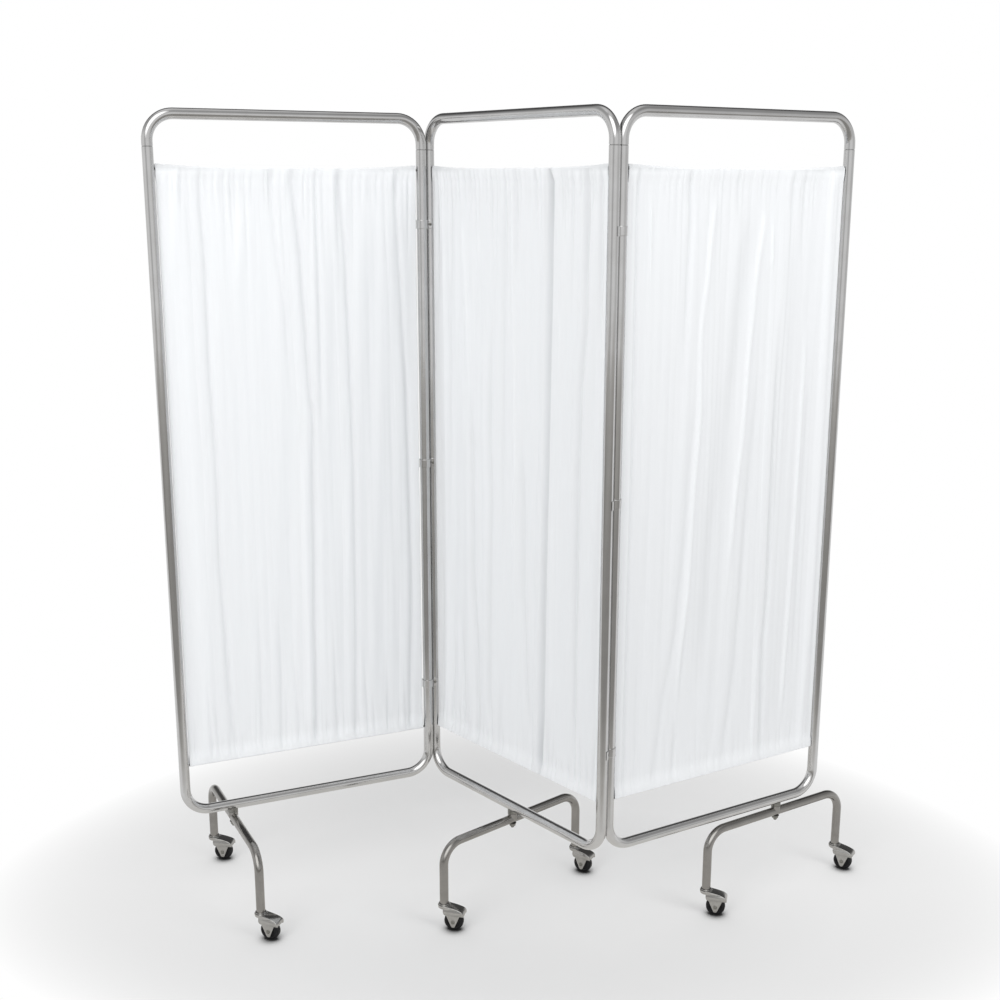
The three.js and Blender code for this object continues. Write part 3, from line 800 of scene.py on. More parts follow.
@dataclass
class Curtain:
    """A sheet of voile gathered on the panel's two rods, with a pocket round each.

    Lengths are in metres, except that folds are felt in their own widths and fade in millimetres.
    """

    number: int
    spot: Spot
    body: str
    drape: Drape
    left: float
    right: float
    columns: int = 500
    rows: int = 92
    pocket: float = 0.023
    pocket_rows: int = 8
    loft: float = 0.0030
    heading: float = 0.0062
    thickness: float = 0.0004
    crease_spread: float = 2.1
    stitch: float = 0.0006
    puff: float = 0.0004
    held_near_rod: float = 0.22
    held_share: float = 0.25
    side_share: float = 0.05
    crease_reach: float = 4.2
    ridge_reach: float = 2.6
    # The crease depth that gets the full painted shade
    full_painted_shade_mm: float = 6.0
    overhang_mm: float = 30.0

    def __post_init__(self) -> None:
        """Adds the short tucks at both rods from a fixed seed, and lays out the rows."""
        dice = random.Random(200 + self.number)
        tucks = [self.tuck(dice, x, True) for x in self.places(dice, 6.0, 17.0)]
        tucks += [self.tuck(dice, x, False) for x in self.places(dice, 9.0, 24.0)]
        self.folds = [*self.drape.folds, *tucks]
        self.puffs = [dice.uniform(-1.0, 1.0) for _ in range(self.columns // 3 + 2)]
        edge = self.pocket / self.length
        last = self.rows - 2 * self.pocket_rows - 1
        self.drops = [edge + i / last * (1 - 2 * edge) for i in range(last + 1)]
        self.bulges, self.shades = zip(*(self.row(drop * self.length / MM) for drop in self.drops))

    @property
    def length(self) -> float:
        """The distance between the two rods."""
        return SIZES.height - SIZES.top_rod_drop - SIZES.bottom_rod_rise

    @property
    def hung_width(self) -> float:
        """The width that the curtain covers."""
        return SIZES.width - self.left - self.right

    def places(self, dice: random.Random, least: float, most: float) -> list[float]:
        """Uneven places across the curtain.

        Args:
            dice: The source of the uneven steps.
            least: The least step, in millimetres.
            most: The greatest step.

        Returns:
            Millimetres from the left upright's axis.
        """
        places, x = [], self.left / MM + 2
        while x < (SIZES.width - self.right) / MM - 2:
            places.append(x)
            x += dice.uniform(least, most)
        return places

    def tuck(self, dice: random.Random, x: float, at_top: bool) -> Fold:
        """A short tuck that starts at a rod and dies out.

        Args:
            dice: The source of its size.
            x: Its place across, in millimetres.
            at_top: Whether it hangs from the upper rod.

        Returns:
            The tuck.
        """
        full, over = self.length / MM, self.overhang_mm
        run = dice.choice((45, 60, 90, 130, 210, 300)) * dice.uniform(0.7, 1.2)
        depth = dice.uniform(0.5, 2.2) * self.drape.tuck_depth
        width = dice.uniform(1.5, 2.6)
        lean = dice.uniform(-5, 5) * run / 150
        if at_top:
            return Fold(((x, -over), (x + lean * 0.3, over), (x + lean, run + over)), depth, width, 1, run)
        run *= 0.6
        knots = ((x + lean, full - run - over), (x, full - 10), (x, full + over))
        return Fold(knots, depth * 0.9, width, run, 1)

    def soft_wave(self, across: float, down: float) -> float:
        """The broad soft shape between the folds.

        Args:
            across: Metres from the left edge.
            down: Metres from the upper rod.

        Returns:
            A number from about -1 to 1.
        """
        seed = 3.7 * self.number
        broad = noise.noise(Vector((across * 14.0, down * 0.9, seed)))
        near = noise.noise(Vector((across * 38.0 + down * 1.5, down * 1.1, seed + 9)))
        fine = noise.noise(Vector((across * 95.0, down * 1.6, seed + 17)))
        return 0.6 * broad + 0.55 * near + 0.16 * fine

    def row(self, down: float) -> tuple[list[float], list[float]]:
        """The form of the cloth at one height.

        Args:
            down: Millimetres below the upper rod.

        Returns:
            How far each column stands toward the viewer in metres, and how much shade is painted on it: more
            in a crease, less on a ridge.
        """
        step = self.hung_width / self.columns
        ends = min(down, self.length / MM - down) * MM
        held = self.held_share + (1 - self.held_share) * smooth(ends / self.held_near_rod)
        waves = self.drape.soft_depth * held
        bulges = [waves * self.soft_wave(column * step, down * MM) for column in range(self.columns + 1)]
        shades = [0.0] * len(bulges)
        for fold in self.folds:
            level = fold.strength(down)
            if level < 0.01:
                continue
            creased = fold.depth > 0
            width = fold.width * MM * (self.crease_spread if creased else 1.0)
            centre = (fold.across(down) * MM - self.left) / step
            reach = (self.crease_reach if creased else self.ridge_reach) * width / step
            first, last = max(0, math.ceil(centre - reach)), min(self.columns, math.floor(centre + reach))
            for column in range(first, last + 1):
                turn = (column - centre) * step / width
                if creased:
                    bulges[column] += fold.depth * self.drape.crisp * MM * level * fold.profile(turn)
                    # Painted shade, deepest in the crease's middle
                    deep = self.drape.painted_shade * fold.depth * level * math.exp(-turn * turn * 1.3)
                else:
                    bulges[column] -= fold.depth * MM * level * math.exp(-turn * turn)
                    # A ridge gets negative painted shade, so it is painted lighter
                    deep = fold.depth * level * math.exp(-turn * turn)
                shades[column] += deep / self.full_painted_shade_mm
        for column in range(self.columns + 1):
            share = column / self.columns
            bulges[column] *= smooth(self.held_share + min(share, 1 - share) / self.side_share)
        return bulges, shades

    def pocket_point(self, column: int, turn: float, lower: bool) -> tuple[float, float]:
        """A point of the pocket round a rod.

        Args:
            column: The column.
            turn: From zero at the back stitch line to one at the front one.
            lower: Whether it is the lower rod's pocket.

        Returns:
            The offset along +Y and the height over the rod's centreline, toward the rod's far side.
        """
        index, rest = divmod(column, 3)
        puff = self.puffs[index] * (1 - rest / 3) + self.puffs[index + 1] * rest / 3
        radius = self.loft + self.puff * (1 + puff)
        edge = min(column, self.columns - column) / self.columns
        lift = 0.0 if lower else self.heading * max(0.0, 1 - edge / 0.32) ** 2
        seam = -(self.bulges[-1] if lower else self.bulges[0])[column]
        straight, arc = 0.34, 0.32
        if straight <= turn <= straight + arc:
            angle = math.pi * (turn - straight) / arc
            return radius * math.cos(angle), (radius + lift) * math.sin(angle)
        if turn < straight:
            side, down = 1, 1 - turn / straight
        else:
            side, down = -1, (turn - straight - arc) / (1 - straight - arc)
        return side * radius * (1 - down) ** 0.6 + (seam + side * self.stitch) * down, -self.pocket * down

    def point(self, column: int, row: int) -> Vector:
        """One point of the sheet, in the panel's own space.

        Args:
            column: The column.
            row: The row, from the back stitch line of the upper pocket to that of the lower one.

        Returns:
            The point.
        """
        high = SIZES.top - SIZES.top_rod_drop
        x = self.left + column / self.columns * self.hung_width
        last = self.rows - 1
        if row < self.pocket_rows:
            y, z = self.pocket_point(column, row / self.pocket_rows, False)
            return Vector((x, y, high + z))
        if row > last - self.pocket_rows:
            y, z = self.pocket_point(column, (last - row) / self.pocket_rows, True)
            return Vector((x, y, high - self.length - z))
        body = row - self.pocket_rows
        ends = min(body, len(self.drops) - 1 - body) / len(self.drops)
        front = self.stitch * max(0.0, 1 - ends / 0.03)
        return Vector((x, -self.bulges[body][column] - front, high - self.drops[body] * self.length))

    def build(self) -> None:
        """Makes the sheet, gives it its cloth map and hems, and hangs it on its rods."""
        shape = Shape()
        bm = shape.bm
        bmesh.ops.create_grid(bm, x_segments=self.columns, y_segments=self.rows - 1, size=0.5)
        hem, crease = (bm.verts.layers.float.new(name) for name in ("hem", "crease"))
        places = {}
        for vert in bm.verts:
            column, row = (vert.co.x + 0.5) * self.columns, (0.5 - vert.co.y) * (self.rows - 1)
            places[vert] = (round(column), round(row))
            vert.co = self.point(*places[vert])
            vert[hem], vert[crease] = self.marks(*places[vert])
        middle, centre = self.columns // 2, self.rows // 2
        heights = running([self.point(middle, row) for row in range(self.rows)])
        flat_width = running([self.point(column, centre) for column in range(self.columns + 1)])[-1]
        cloth = bm.loops.layers.uv.new("cloth")
        for face in bm.faces:
            for loop in face.loops:
                column, row = places[loop.vert]
                loop[cloth].uv = (column / self.columns * flat_width, heights[row])
        bmesh.ops.recalc_face_normals(bm, faces=bm.faces)
        flat = (sum(f.calc_area() for f in bm.faces) / heights[-1], heights[-1])
        panel = f"panel{self.number}"
        made = shape.move(self.spot.matrix()).piece(f"{panel}_curtain", "cloth", CURTAIN_VOILE, self.body)
        skin = made.modifiers.new("thickness", "SOLIDIFY")
        skin.thickness, skin.offset = self.thickness, 0.0
        log.info("%s: cut %.3f by %.3f m", made.name, *flat)

    def marks(self, column: int, row: int) -> tuple[float, float]:
        """How doubled the cloth is at a point, and how much shade is painted on it: in a crease, and as a
        dark line along the upper rod.

        Args:
            column: The column.
            row: The row.

        Returns:
            The hem's share and the share of painted shade.
        """
        from_end = min(row, self.rows - 1 - row)
        edge = min(column, self.columns - column) / self.columns
        doubled = 1.0 if from_end <= self.pocket_rows else (0.6 if edge < 0.016 else 0.0)
        body = min(max(row - self.pocket_rows, 0), len(self.shades) - 1)
        # A thin dark line along the upper pocket's crest, strongest toward the sides, is painted shade
        crest = self.pocket_rows * 0.42 < from_end < self.pocket_rows * 0.75
        painted_rod_line = 3.0 * max(0.0, 1 - edge / 0.3) if crest and row < self.rows / 2 else -1.0
        return doubled, max(self.shades[body][column], painted_rod_line)


def running(points: Sequence[Vector]) -> list[float]:
    """How far along a row of points each of them lies.

    Args:
        points: The points.

    Returns:
        Their distances from the first point, along the row.
    """
    found = [0.0]
    for last, here in zip(points, points[1:]):
        found.append(found[-1] + (here - last).length)
    return found


@dataclass
class HingeClip:
    """A bent strip with a ring round the next upright and a saddle that is screwed to its own."""

    line: str
    place: str
    spot: Spot
    height: float
    bore: float = 0.0113
    wall: float = 0.0012
    tall: float = 0.018
    inner_degrees: float = 74.0
    outer_degrees: float = 100.0
    screw_degrees: float = 48.0
    cut_in: float = 1.1 * MM
    facet_degrees: float = 7.5

    def band(self, centre: float, start: float, end: float) -> Shape:
        """A bent strip about an upright axis.

        Args:
            centre: How far along X its axis lies.
            start: The angle that it starts at, in degrees.
            end: The angle that it ends at.

        Returns:
            The strip.
        """
        strip = Shape()
        half, outer = self.tall / 2, self.bore + self.wall
        section = [(self.bore, -half), (outer, -half), (outer, half), (self.bore, half)]
        points = [strip.bm.verts.new((r, 0, z)) for r, z in section]
        first = strip.bm.faces.new(points)
        turn = Matrix.Rotation(math.radians(start), 3, "Z")
        bmesh.ops.rotate(strip.bm, verts=points, matrix=turn, cent=(0, 0, 0))
        full = end - start >= 360
        steps = max(8, round((end - start) / self.facet_degrees))
        strip.spin([first, *points, *first.edges], end - start, steps, merge=full)
        if full:
            inside = [f for f in strip.bm.faces if self.is_inner_wall(f)]
            bmesh.ops.delete(strip.bm, geom=inside, context="FACES_ONLY")
        strip.ring_cuts((-half + self.cut_in, half - self.cut_in))
        bmesh.ops.recalc_face_normals(strip.bm, faces=strip.bm.faces)
        bmesh.ops.translate(strip.bm, verts=strip.bm.verts, vec=(centre, 0, 0))
        return Shape().add(strip).soften(0.35 * MM, 2, 60)

    @staticmethod
    def is_inner_wall(face: bmesh.types.BMFace) -> bool:
        """Whether a face of the strip stands across it, inside the metal."""
        radii = {round(Vector(v.co.xy).length, 5) for v in face.verts}
        angles = {round(math.atan2(v.co.y, v.co.x), 3) for v in face.verts}
        return len(radii) == 2 and len(angles) == 1

    def build(self) -> None:
        """Makes the clip and its screw."""
        place = Matrix.Translation((0, 0, self.height)) @ self.spot.matrix()
        ring = self.band(RING_SPACING, 0, 360)
        saddle = self.band(0.0, -self.outer_degrees, self.inner_degrees)
        node = f"{self.line}_{self.place}"
        ring.add(saddle).move(place).piece(f"{node}_clip", "strip", TUBE_CHROME, "middle_panel")
        seat = self.bore + self.wall + 0.2 * MM
        profile = [
            (0, 0.003), (0.002, 0.003), (0.002, seat), (0.0030, seat), (0.0031, seat + 0.0007),
            (0.0026, seat + 0.0016), (0.0014, seat + 0.0021), (0.0010, seat + 0.0021),
            (0.0008, seat + 0.0012), (0, seat + 0.0011),
        ]
        quarter = Matrix.Rotation(math.pi / 2, 4, "Y")
        turn = Matrix.Rotation(math.radians(self.screw_degrees), 4, "Z") @ quarter
        screw = Shape().lathe(profile, 24).move(place @ turn)
        screw.piece(f"{node}_screw", "turned", ZINC_STEEL, "middle_panel")


@dataclass
class BowLeg:
    """One bow leg with its seat, the saddle over it and the bolt through both."""

    number: int
    spot: Spot
    panel_spot: Spot
    panel_body: str
    tube: float = 0.0095
    wall: float = 0.0012
    bar: float = 0.192
    foot: float = 0.060
    half: float = 0.199
    bend: float = 0.045
    bore_depth: float = 0.032
    seat_radius: float = 0.0105
    saddle_thickness: float = 0.0046
    saddle_rise: float = 0.005
    nut: float = 0.0065
    thread_end: float = 0.0045

    def build(self) -> None:
        """Makes the leg, the saddle and the bolt."""
        drop = self.bar - self.foot - self.bend
        run = TubeRun(Vector((-self.half, 0, self.foot)), UP, self.tube)
        run.straight(drop).bend(ACROSS, self.bend).straight(2 * (self.half - self.bend))
        leg = run.bend(-UP, self.bend).straight(drop).ends(self.wall, -self.bore_depth, -UP)
        seat_top = SIZES.rail - SIZES.tube - GAP - self.saddle_thickness - GAP
        leg.add(self.disc(self.bar, seat_top))
        name = f"leg{self.number}"
        leg.move(self.spot.matrix()).piece(f"{name}_bow", "tube", LEG_CHROME, name)
        place = self.panel_spot.matrix()
        saddle = self.saddle(seat_top + GAP).move(place)
        saddle.piece(f"{name}_rail_saddle", "block", ZINC_STEEL, self.panel_body)
        self.bolt().move(place).piece(f"{name}_pivot_bolt", "set", ZINC_STEEL, self.panel_body)

    def disc(self, base: float, top: float) -> Shape:
        """A short turned block with a rounded upper edge.

        Args:
            base: Its lower height.
            top: Its upper height.

        Returns:
            The block.
        """
        radius, round_off = self.seat_radius, 0.0006
        edge = [(radius, base), (radius, top - round_off), (radius - round_off, top)]
        return Shape().lathe([(0, base), *edge, (0, top)], 40)

    def saddle(self, base: float) -> Shape:
        """Makes the block that sits between the lower rail and the leg, hollowed out for the rail.

        Args:
            base: The height of its underside.

        Returns:
            The block.
        """
        length = 0.04
        cut = Shape().bar(40, SIZES.tube + GAP, length)
        cut.move(Matrix.Translation((-length / 2, 0, SIZES.rail)) @ Matrix.Rotation(math.pi / 2, 4, "Y"))
        whole = put("block", self.disc(base, SIZES.rail - SIZES.tube + self.saddle_rise).mesh("block"))
        knife = put("cut", cut.mesh("cut"))
        trim = whole.modifiers.new("trim", "BOOLEAN")
        trim.operation, trim.object, trim.solver = "DIFFERENCE", knife, "EXACT"
        bpy.context.view_layer.update()
        shaped = bpy.data.meshes.new_from_object(whole.evaluated_get(bpy.context.evaluated_depsgraph_get()))
        for used in (whole, knife):
            bpy.data.objects.remove(used)
        result = Shape()
        result.bm.from_mesh(shaped)
        return result

    def bolt(self) -> Shape:
        """Makes the bolt that hangs from inside the rail, with its washer and nut under the bar.

        Returns:
            The set as one shape.
        """
        head = SIZES.rail - 0.0069
        under = self.bar - self.tube - GAP
        tip = under - self.nut - self.thread_end
        shank = [(0, tip), (0.0031, tip), (0.0039, tip + 0.0008), (0.0039, head)]
        cap = [(0.0051, 0), (0.0055, 0.0004), (0.0055, 0.0026), (0.0051, 0.003), (0, 0.003)]
        washer = [
            (0.0041, -0.0012), (0.0083, -0.0012), (0.0085, -0.001), (0.0085, -0.0002),
            (0.0083, 0), (0.0041, 0), (0.0041, -0.0012),
        ]
        nut = Shape().bar(6, 0.0073, 0.0052).soften(0.0005, 2, 50)
        nut.move(Matrix.Translation((0, 0, under - self.nut)))
        bolt = Shape().lathe(shank + [(r, head + z) for r, z in cap], 32)
        return bolt.add(Shape().lathe([(r, under + z) for r, z in washer], 32)).add(nut)


# The hood's outline round the wheel, in shares of the wheel's radius from its axle: over the roof from the
# trailing brim to the leading one, and back along the two pointed cheeks
HOOD_OUTLINE = (
    (1.12, 0.68), (1.14, 0.80), (1.12, 0.94), (1.05, 1.08), (0.93, 1.19), (0.75, 1.29), (0.50, 1.38),
    (0.20, 1.46), (-0.10, 1.52), (-0.60, 1.61), (-0.95, 1.62), (-1.02, 1.40), (-1.00, 1.05), (-0.94, 0.80),
    (-0.84, 0.72), (-0.68, 0.66), (-0.19, -0.48), (-0.12, -0.56), (0.0, -0.59), (0.12, -0.56),
    (0.19, -0.48), (0.66, 0.64), (0.74, 0.70),
)
# Where rings are cut into the hood, in shares of the wheel's radius over the axle
HOOD_RINGS = (-0.3, 0.0, 0.3, 0.5, 0.64, 0.74, 0.84, 0.94, 1.04, 1.14, 1.24, 1.36)


@dataclass
class Caster:
    """A hooded swivel caster in the end of a leg."""

    name: str
    spot: Spot
    leg_body: str
    radius: float = 0.0215
    half_width: float = 0.0095
    trail: float = 0.022
    axle_height: float = 0.02109
    cheek: float = 0.0126
    sheet: float = 0.0018
    roof_round: float = 0.0064
    brim: float = 0.78
    flange_top: float = 0.0597
    boss_top: float = 0.0570
    boss_base: float = 0.0480
    boss_radius: float = 0.0135

    def build(self) -> None:
        """Makes the stem, the hood, the axle and the wheel."""
        place, name = self.spot.matrix(), self.name
        self.stem().move(place).piece(f"{name}_stem", "turned", PRESSED_CHROME, self.leg_body)
        self.hood().move(place).piece(f"{name}_hood", "pressed", PRESSED_CHROME, name)
        quarter = Matrix.Rotation(-math.pi / 2, 4, "X")
        across = place @ Matrix.Translation((self.trail, 0, self.axle_height)) @ quarter
        self.axle().move(across).piece(f"{name}_axle", "rivet", ZINC_STEEL, name)
        self.wheel().move(across).piece(f"{name}_wheel", "tyre", BLACK_RUBBER, f"{name}_wheel")

    def stem(self) -> Shape:
        """The plug, the flange under the tube and the kingpin with its riveted head.

        Returns:
            The stem.
        """
        kingpin = [(0, -0.0080), (0.0055, -0.0080), (0.0065, -0.0075), (0.0065, -0.0065), (0.0045, -0.0065)]
        flange = [(0.0045, -0.0024), (0.0114, -0.0024), (0.0120, -0.0018), (0.0120, -0.0006), (0.0114, 0)]
        plug = [(0.0073, 0), (0.0073, 0.0265), (0.0060, 0.0280), (0, 0.0280)]
        return Shape().lathe([(r, self.flange_top + z) for r, z in kingpin + flange + plug], 40)

    def hood(self) -> Shape:
        """The pressed hood: a roof that falls away to its brim, two pointed cheeks and the swivel boss.

        Returns:
            The hood.
        """
        r, cx, cz = self.radius, self.trail, self.axle_height
        shell = Shape()
        rim = shell.prism([(cx + a * r, cz + b * r) for a, b in HOOD_OUTLINE], self.cheek)
        open_rim = [f for f in rim if f.calc_center_median().z < cz + self.brim * r]
        bmesh.ops.delete(shell.bm, geom=open_rim, context="FACES")
        roof_edges = [
            e for e in shell.bm.edges
            if len(e.link_faces) == 2 and e.calc_face_angle(0) > 1.2
            and abs(abs(e.verts[0].co.y) - self.cheek) < NEAR
        ]
        shell.bevel(roof_edges, self.roof_round, 6)
        bmesh.ops.recalc_face_normals(shell.bm, faces=shell.bm.faces)
        middle = Vector((cx, 0, cz + r))
        outward = sum(1 for f in shell.bm.faces if (f.calc_center_median() - middle).dot(f.normal) > 0)
        if outward < len(shell.bm.faces) / 2:
            bmesh.ops.reverse_faces(shell.bm, faces=shell.bm.faces)
        shell.ring_cuts(cz + share * r for share in HOOD_RINGS)
        for vert in shell.bm.verts:
            side = smooth((abs(vert.co.y) / self.cheek - 0.5) / 0.3)
            vert.co.y *= 1 + self.crown((vert.co.z - cz) / r) / self.cheek * side
        bmesh.ops.solidify(shell.bm, geom=list(shell.bm.faces), thickness=self.sheet)
        top, base, boss = self.boss_top, self.boss_base, self.boss_radius
        outside = [(boss - 0.0007, top), (boss, top - 0.0007), (boss, top - 0.0042)]
        under = [(boss - 0.0006, base + 0.0026), (boss - 0.0021, base + 0.0010), (boss - 0.0040, base)]
        race = [(0.0072, base), (0.0072, base + 0.0055), (0.0049, base + 0.0055), (0.0049, top)]
        return shell.add(Shape().lathe([(0.0049, top), *outside, *under, *race], 40))

    @staticmethod
    def crown(share: float) -> float:
        """How far a cheek stands out: a rounded shoulder, a step under it, and a tip that leans in.

        Args:
            share: The height over the axle, in shares of the wheel's radius.

        Returns:
            Metres, outward.
        """
        shoulder = 0.0020 * math.exp(-(((share - 1.02) / 0.26) ** 2))
        return shoulder - 0.0007 * smooth((0.85 - share) / 0.25) - 0.0004 * smooth((0.3 - share) / 0.9)

    def axle(self) -> Shape:
        """The axle with a domed rivet head on each cheek."""
        seat, crown = self.cheek - 0.0006, self.cheek + 0.0008
        half = [(0.003, seat), (0.0045, seat), (0.0043, seat + 0.0006), (0.0028, crown - 0.0003), (0, crown)]
        return Shape().lathe([(r, -z) for r, z in reversed(half)] + half, 28)

    def wheel(self) -> Shape:
        """The rubber wheel: a round tread, a stepped side and a raised hub.

        Returns:
            The wheel.
        """
        r, w = self.axle_height, self.half_width
        hub = [(0.0033, w), (0.0062, w), (0.0068, w - 0.0006), (0.0072, w - 0.0022)]
        side = [(0.0128, w - 0.0026), (0.0136, w - 0.0014), (0.0150, w - 0.0008), (0.0172, w - 0.0010)]
        shoulder = [(0.0190, w - 0.0022), (0.0205, w - 0.0038), (r - 0.0004, w - 0.0055)]
        half = [*hub, *side, *shoulder, (r - 0.0001, 0.0020)]
        below = [(a, -b) for a, b in reversed(half)]
        return Shape().lathe([*half, (r, 0.0), *below, half[0]], 56)


@dataclass(frozen=True)
class Lamp:
    """A soft rectangular lamp that no mirror shows."""

    name: str
    place: tuple[float, float, float]
    size: tuple[float, float]
    power: float

    def hang(self, target: Vector) -> None:
        """Hangs the lamp in the scene, aimed at a point.

        Args:
            target: The point.
        """
        data = bpy.data.lights.new(self.name, "AREA")
        data.shape = "RECTANGLE"
        data.size, data.size_y = self.size
        data.energy = self.power
        made = put(self.name, data)
        made.location = self.place
        made.rotation_euler = (target - Vector(self.place)).to_track_quat("-Z", "Y").to_euler()
        made.visible_glossy = False


LAMPS = (
    Lamp("front_left", (-2.4, -3.2, 2.5), (2.0, 2.2), 44.5),
    Lamp("front_right", (3.3, -2.4, 2.5), (2.0, 2.2), 37.0),
    Lamp("near_left", (-1.2, -1.9, 3.0), (1.6, 1.2), 14.0),
    Lamp("near_right", (1.6, -1.3, 2.7), (1.4, 1.2), 11.0),
)
# Grey levels of the floor, by the share of its reach
FLOOR_STOPS = ((0.0, 0.8), (0.055, 0.78), (0.1, 0.55), (0.16, 0.32), (0.34, 0.34), (0.55, 0.6), (1.0, 0.8))
# Grey levels of the room's walls, once round from -X over -Y, and upward from the horizon
WALL_STOPS = (
    (0.0, 0.95), (0.08, 1.05), (0.15, 0.8), (0.19, 0.55), (0.23, 0.95), (0.34, 1.0),
    (0.39, 0.9), (0.43, 0.75), (0.47, 0.75), (0.53, 0.85), (0.7, 0.95), (1.0, 0.95),
)
HEIGHT_STOPS = ((0.0, 1.0), (0.24, 1.0), (0.5, 0.62), (0.72, 0.5), (0.86, 0.6), (0.96, 1.0))


@dataclass
class Studio:
    """The camera, the pale floor, the lamps and the room."""

    corner: Vector
    lens: float = 50.16
    pitch_degrees: float = 14.295
    roll_degrees: float = 0.149
    offset: tuple[float, float, float] = (0.17316, -3.06141, 1.33344)
    shift: tuple[float, float] = (-0.00967, 0.03911)
    floor_reach: float = 9.0
    bright_panel: tuple[float, float, float] = (-0.1, -0.79, 0.6)
    panel_level: float = 2.4

    def build(self) -> None:
        """Sets up everything that isn't the screen itself."""
        self.camera()
        self.floor()
        for lamp in LAMPS:
            lamp.hang(Vector((0, 0, 0.9)))
        self.room()

    def camera(self) -> None:
        """Puts the camera at the photograph's place."""
        data = bpy.data.cameras.new("camera")
        data.lens, data.sensor_width = self.lens, 36.0
        data.shift_x, data.shift_y = self.shift
        data.clip_end = 100.0
        made = put("camera", data)
        place = self.corner + Vector(self.offset) + Vector((0, 0, SIZES.rail))
        tilt = Matrix.Rotation(math.radians(90 - self.pitch_degrees), 4, "X")
        roll = Matrix.Rotation(math.radians(self.roll_degrees), 4, "Z")
        made.matrix_world = Matrix.Translation(place) @ tilt @ roll
        bpy.context.scene.camera = made

    def floor(self) -> None:
        """Lays the floor: pale round the screen, darker beyond, and fading to white for the camera."""
        shape = Shape()
        bmesh.ops.create_grid(shape.bm, x_segments=1, y_segments=1, size=self.floor_reach)
        made = put("floor", shape.mesh("floor"))
        finish = bpy.data.materials.new("pale_floor")
        made.data.materials.append(finish)
        nodes = Nodes(finish)
        place = nodes.add("TexCoord").outputs["Object"]
        behind = nodes.add("SeparateXYZ", {0: place}).outputs["Y"]
        # dark is the share of painted contact shadow under each wheel
        dark = self.painted_contact_shadow(nodes)
        # To the camera the floor in front is a quarter darker than it is to cloth and metal, which is painted
        # shade
        painted_front_shade = nodes.maths("MULTIPLY", nodes.spread(behind, -0.4, 0.05, 0.25, 0.07), nodes.ray("Camera"))
        colour = nodes.mix(painted_front_shade, self.floor_colour(nodes, place), BLACK)
        # Under each wheel the floor is painted near black: a painted contact shadow
        colour = nodes.mix(dark, colour, linear("#1c1c1c"))
        matt = nodes.add("BsdfDiffuse", {"Color": colour}).outputs[0]
        white = nodes.add("Emission", {"Color": WHITE, "Strength": 1.0}).outputs[0]
        # The painted contact shadow is kept out of the white fade, so that it stays dark
        fade = nodes.maths("MULTIPLY", self.fade(nodes, place), nodes.maths("SUBTRACT", 1.0, dark))
        share = nodes.maths("MULTIPLY", fade, self.seen(nodes, nodes.spread(behind, -0.9, -0.4, 0.0, 1.0)))
        mixed = nodes.add("MixShader", {0: share, 1: matt, 2: white}).outputs[0]
        nodes.add("OutputMaterial", {"Surface": mixed})

    @staticmethod
    def seen(nodes: Nodes, behind: Socket) -> Socket:
        """Which rays see the white backdrop: the camera's, and bent ones that go behind the screen.

        Args:
            nodes: The node tree.
            behind: How far the place or direction belongs to the backdrop.

        Returns:
            The share.
        """
        bent = nodes.maths("MAXIMUM", nodes.ray("Glossy"), nodes.ray("Transmission"))
        return nodes.maths("MAXIMUM", nodes.ray("Camera"), nodes.maths("MULTIPLY", bent, behind))

    def floor_colour(self, nodes: Nodes, place: Socket) -> Socket:
        """The floor's colour: a pale sweep on a darker studio floor, a little warmer where metal mirrors it.

        Args:
            nodes: The floor's node tree.
            place: The floor's own coordinates.

        Returns:
            The colour.
        """
        squeezed = nodes.add("Mapping", {"Vector": place, "Scale": (0.72, 1.0, 1.0)}).outputs[0]
        far = nodes.add("VectorMath", {0: squeezed}, operation="LENGTH").outputs["Value"]
        paint = nodes.ramp(nodes.maths("DIVIDE", far, self.floor_reach), FLOOR_STOPS)
        # The floor throws back about a fifth less light at the cloth than it shows
        held_back = nodes.maths("MULTIPLY", nodes.ray("Diffuse"), 0.22)
        colour = nodes.mix(held_back, paint, BLACK)
        return nodes.mix(nodes.ray("Glossy"), colour, (1.0, 0.975, 0.93, 1.0), "MULTIPLY")

    @staticmethod
    def painted_contact_shadow(nodes: Nodes) -> Socket:
        """How much painted shadow darkens the floor, from 0 to 1: only right under each wheel, wherever it
        rolls.
        """
        open_share = nodes.add("AmbientOcclusion", {"Distance": 0.04}, samples=16).outputs["AO"]
        return nodes.spread(open_share, 0.45, 0.93, 0.97, 0.0, "SMOOTHSTEP")

    @staticmethod
    def fade(nodes: Nodes, place: Socket) -> Socket:
        """How far the floor has faded to white: with the square of the distance from the screen.

        Args:
            nodes: The floor's node tree.
            place: The floor's own coordinates.

        Returns:
            The share.
        """
        parts = nodes.add("SeparateXYZ", {0: place}).outputs
        # An oval about the screen, 1.22 m to each side, 0.75 m to the front and deeper to the back
        aside = nodes.maths("MULTIPLY_ADD", parts["X"], 1 / 1.22, 0.02)
        back = nodes.maths("SUBTRACT", parts["Y"], 0.07)
        depth = nodes.maths("MULTIPLY_ADD", nodes.maths("MAXIMUM", back, 0.0), 0.35, 0.75)
        deep = nodes.maths("DIVIDE", back, depth)
        squares = nodes.maths("MULTIPLY_ADD", deep, deep, nodes.maths("MULTIPLY", aside, aside))
        rise = nodes.maths("POWER", nodes.maths("MINIMUM", squares, 1.0), 1.8)
        # Even under the screen 0.18 of the floor is white to the camera, which lightens the screen's shadow
        # there: painted light
        return nodes.maths("MULTIPLY_ADD", rise, 0.82, 0.18)

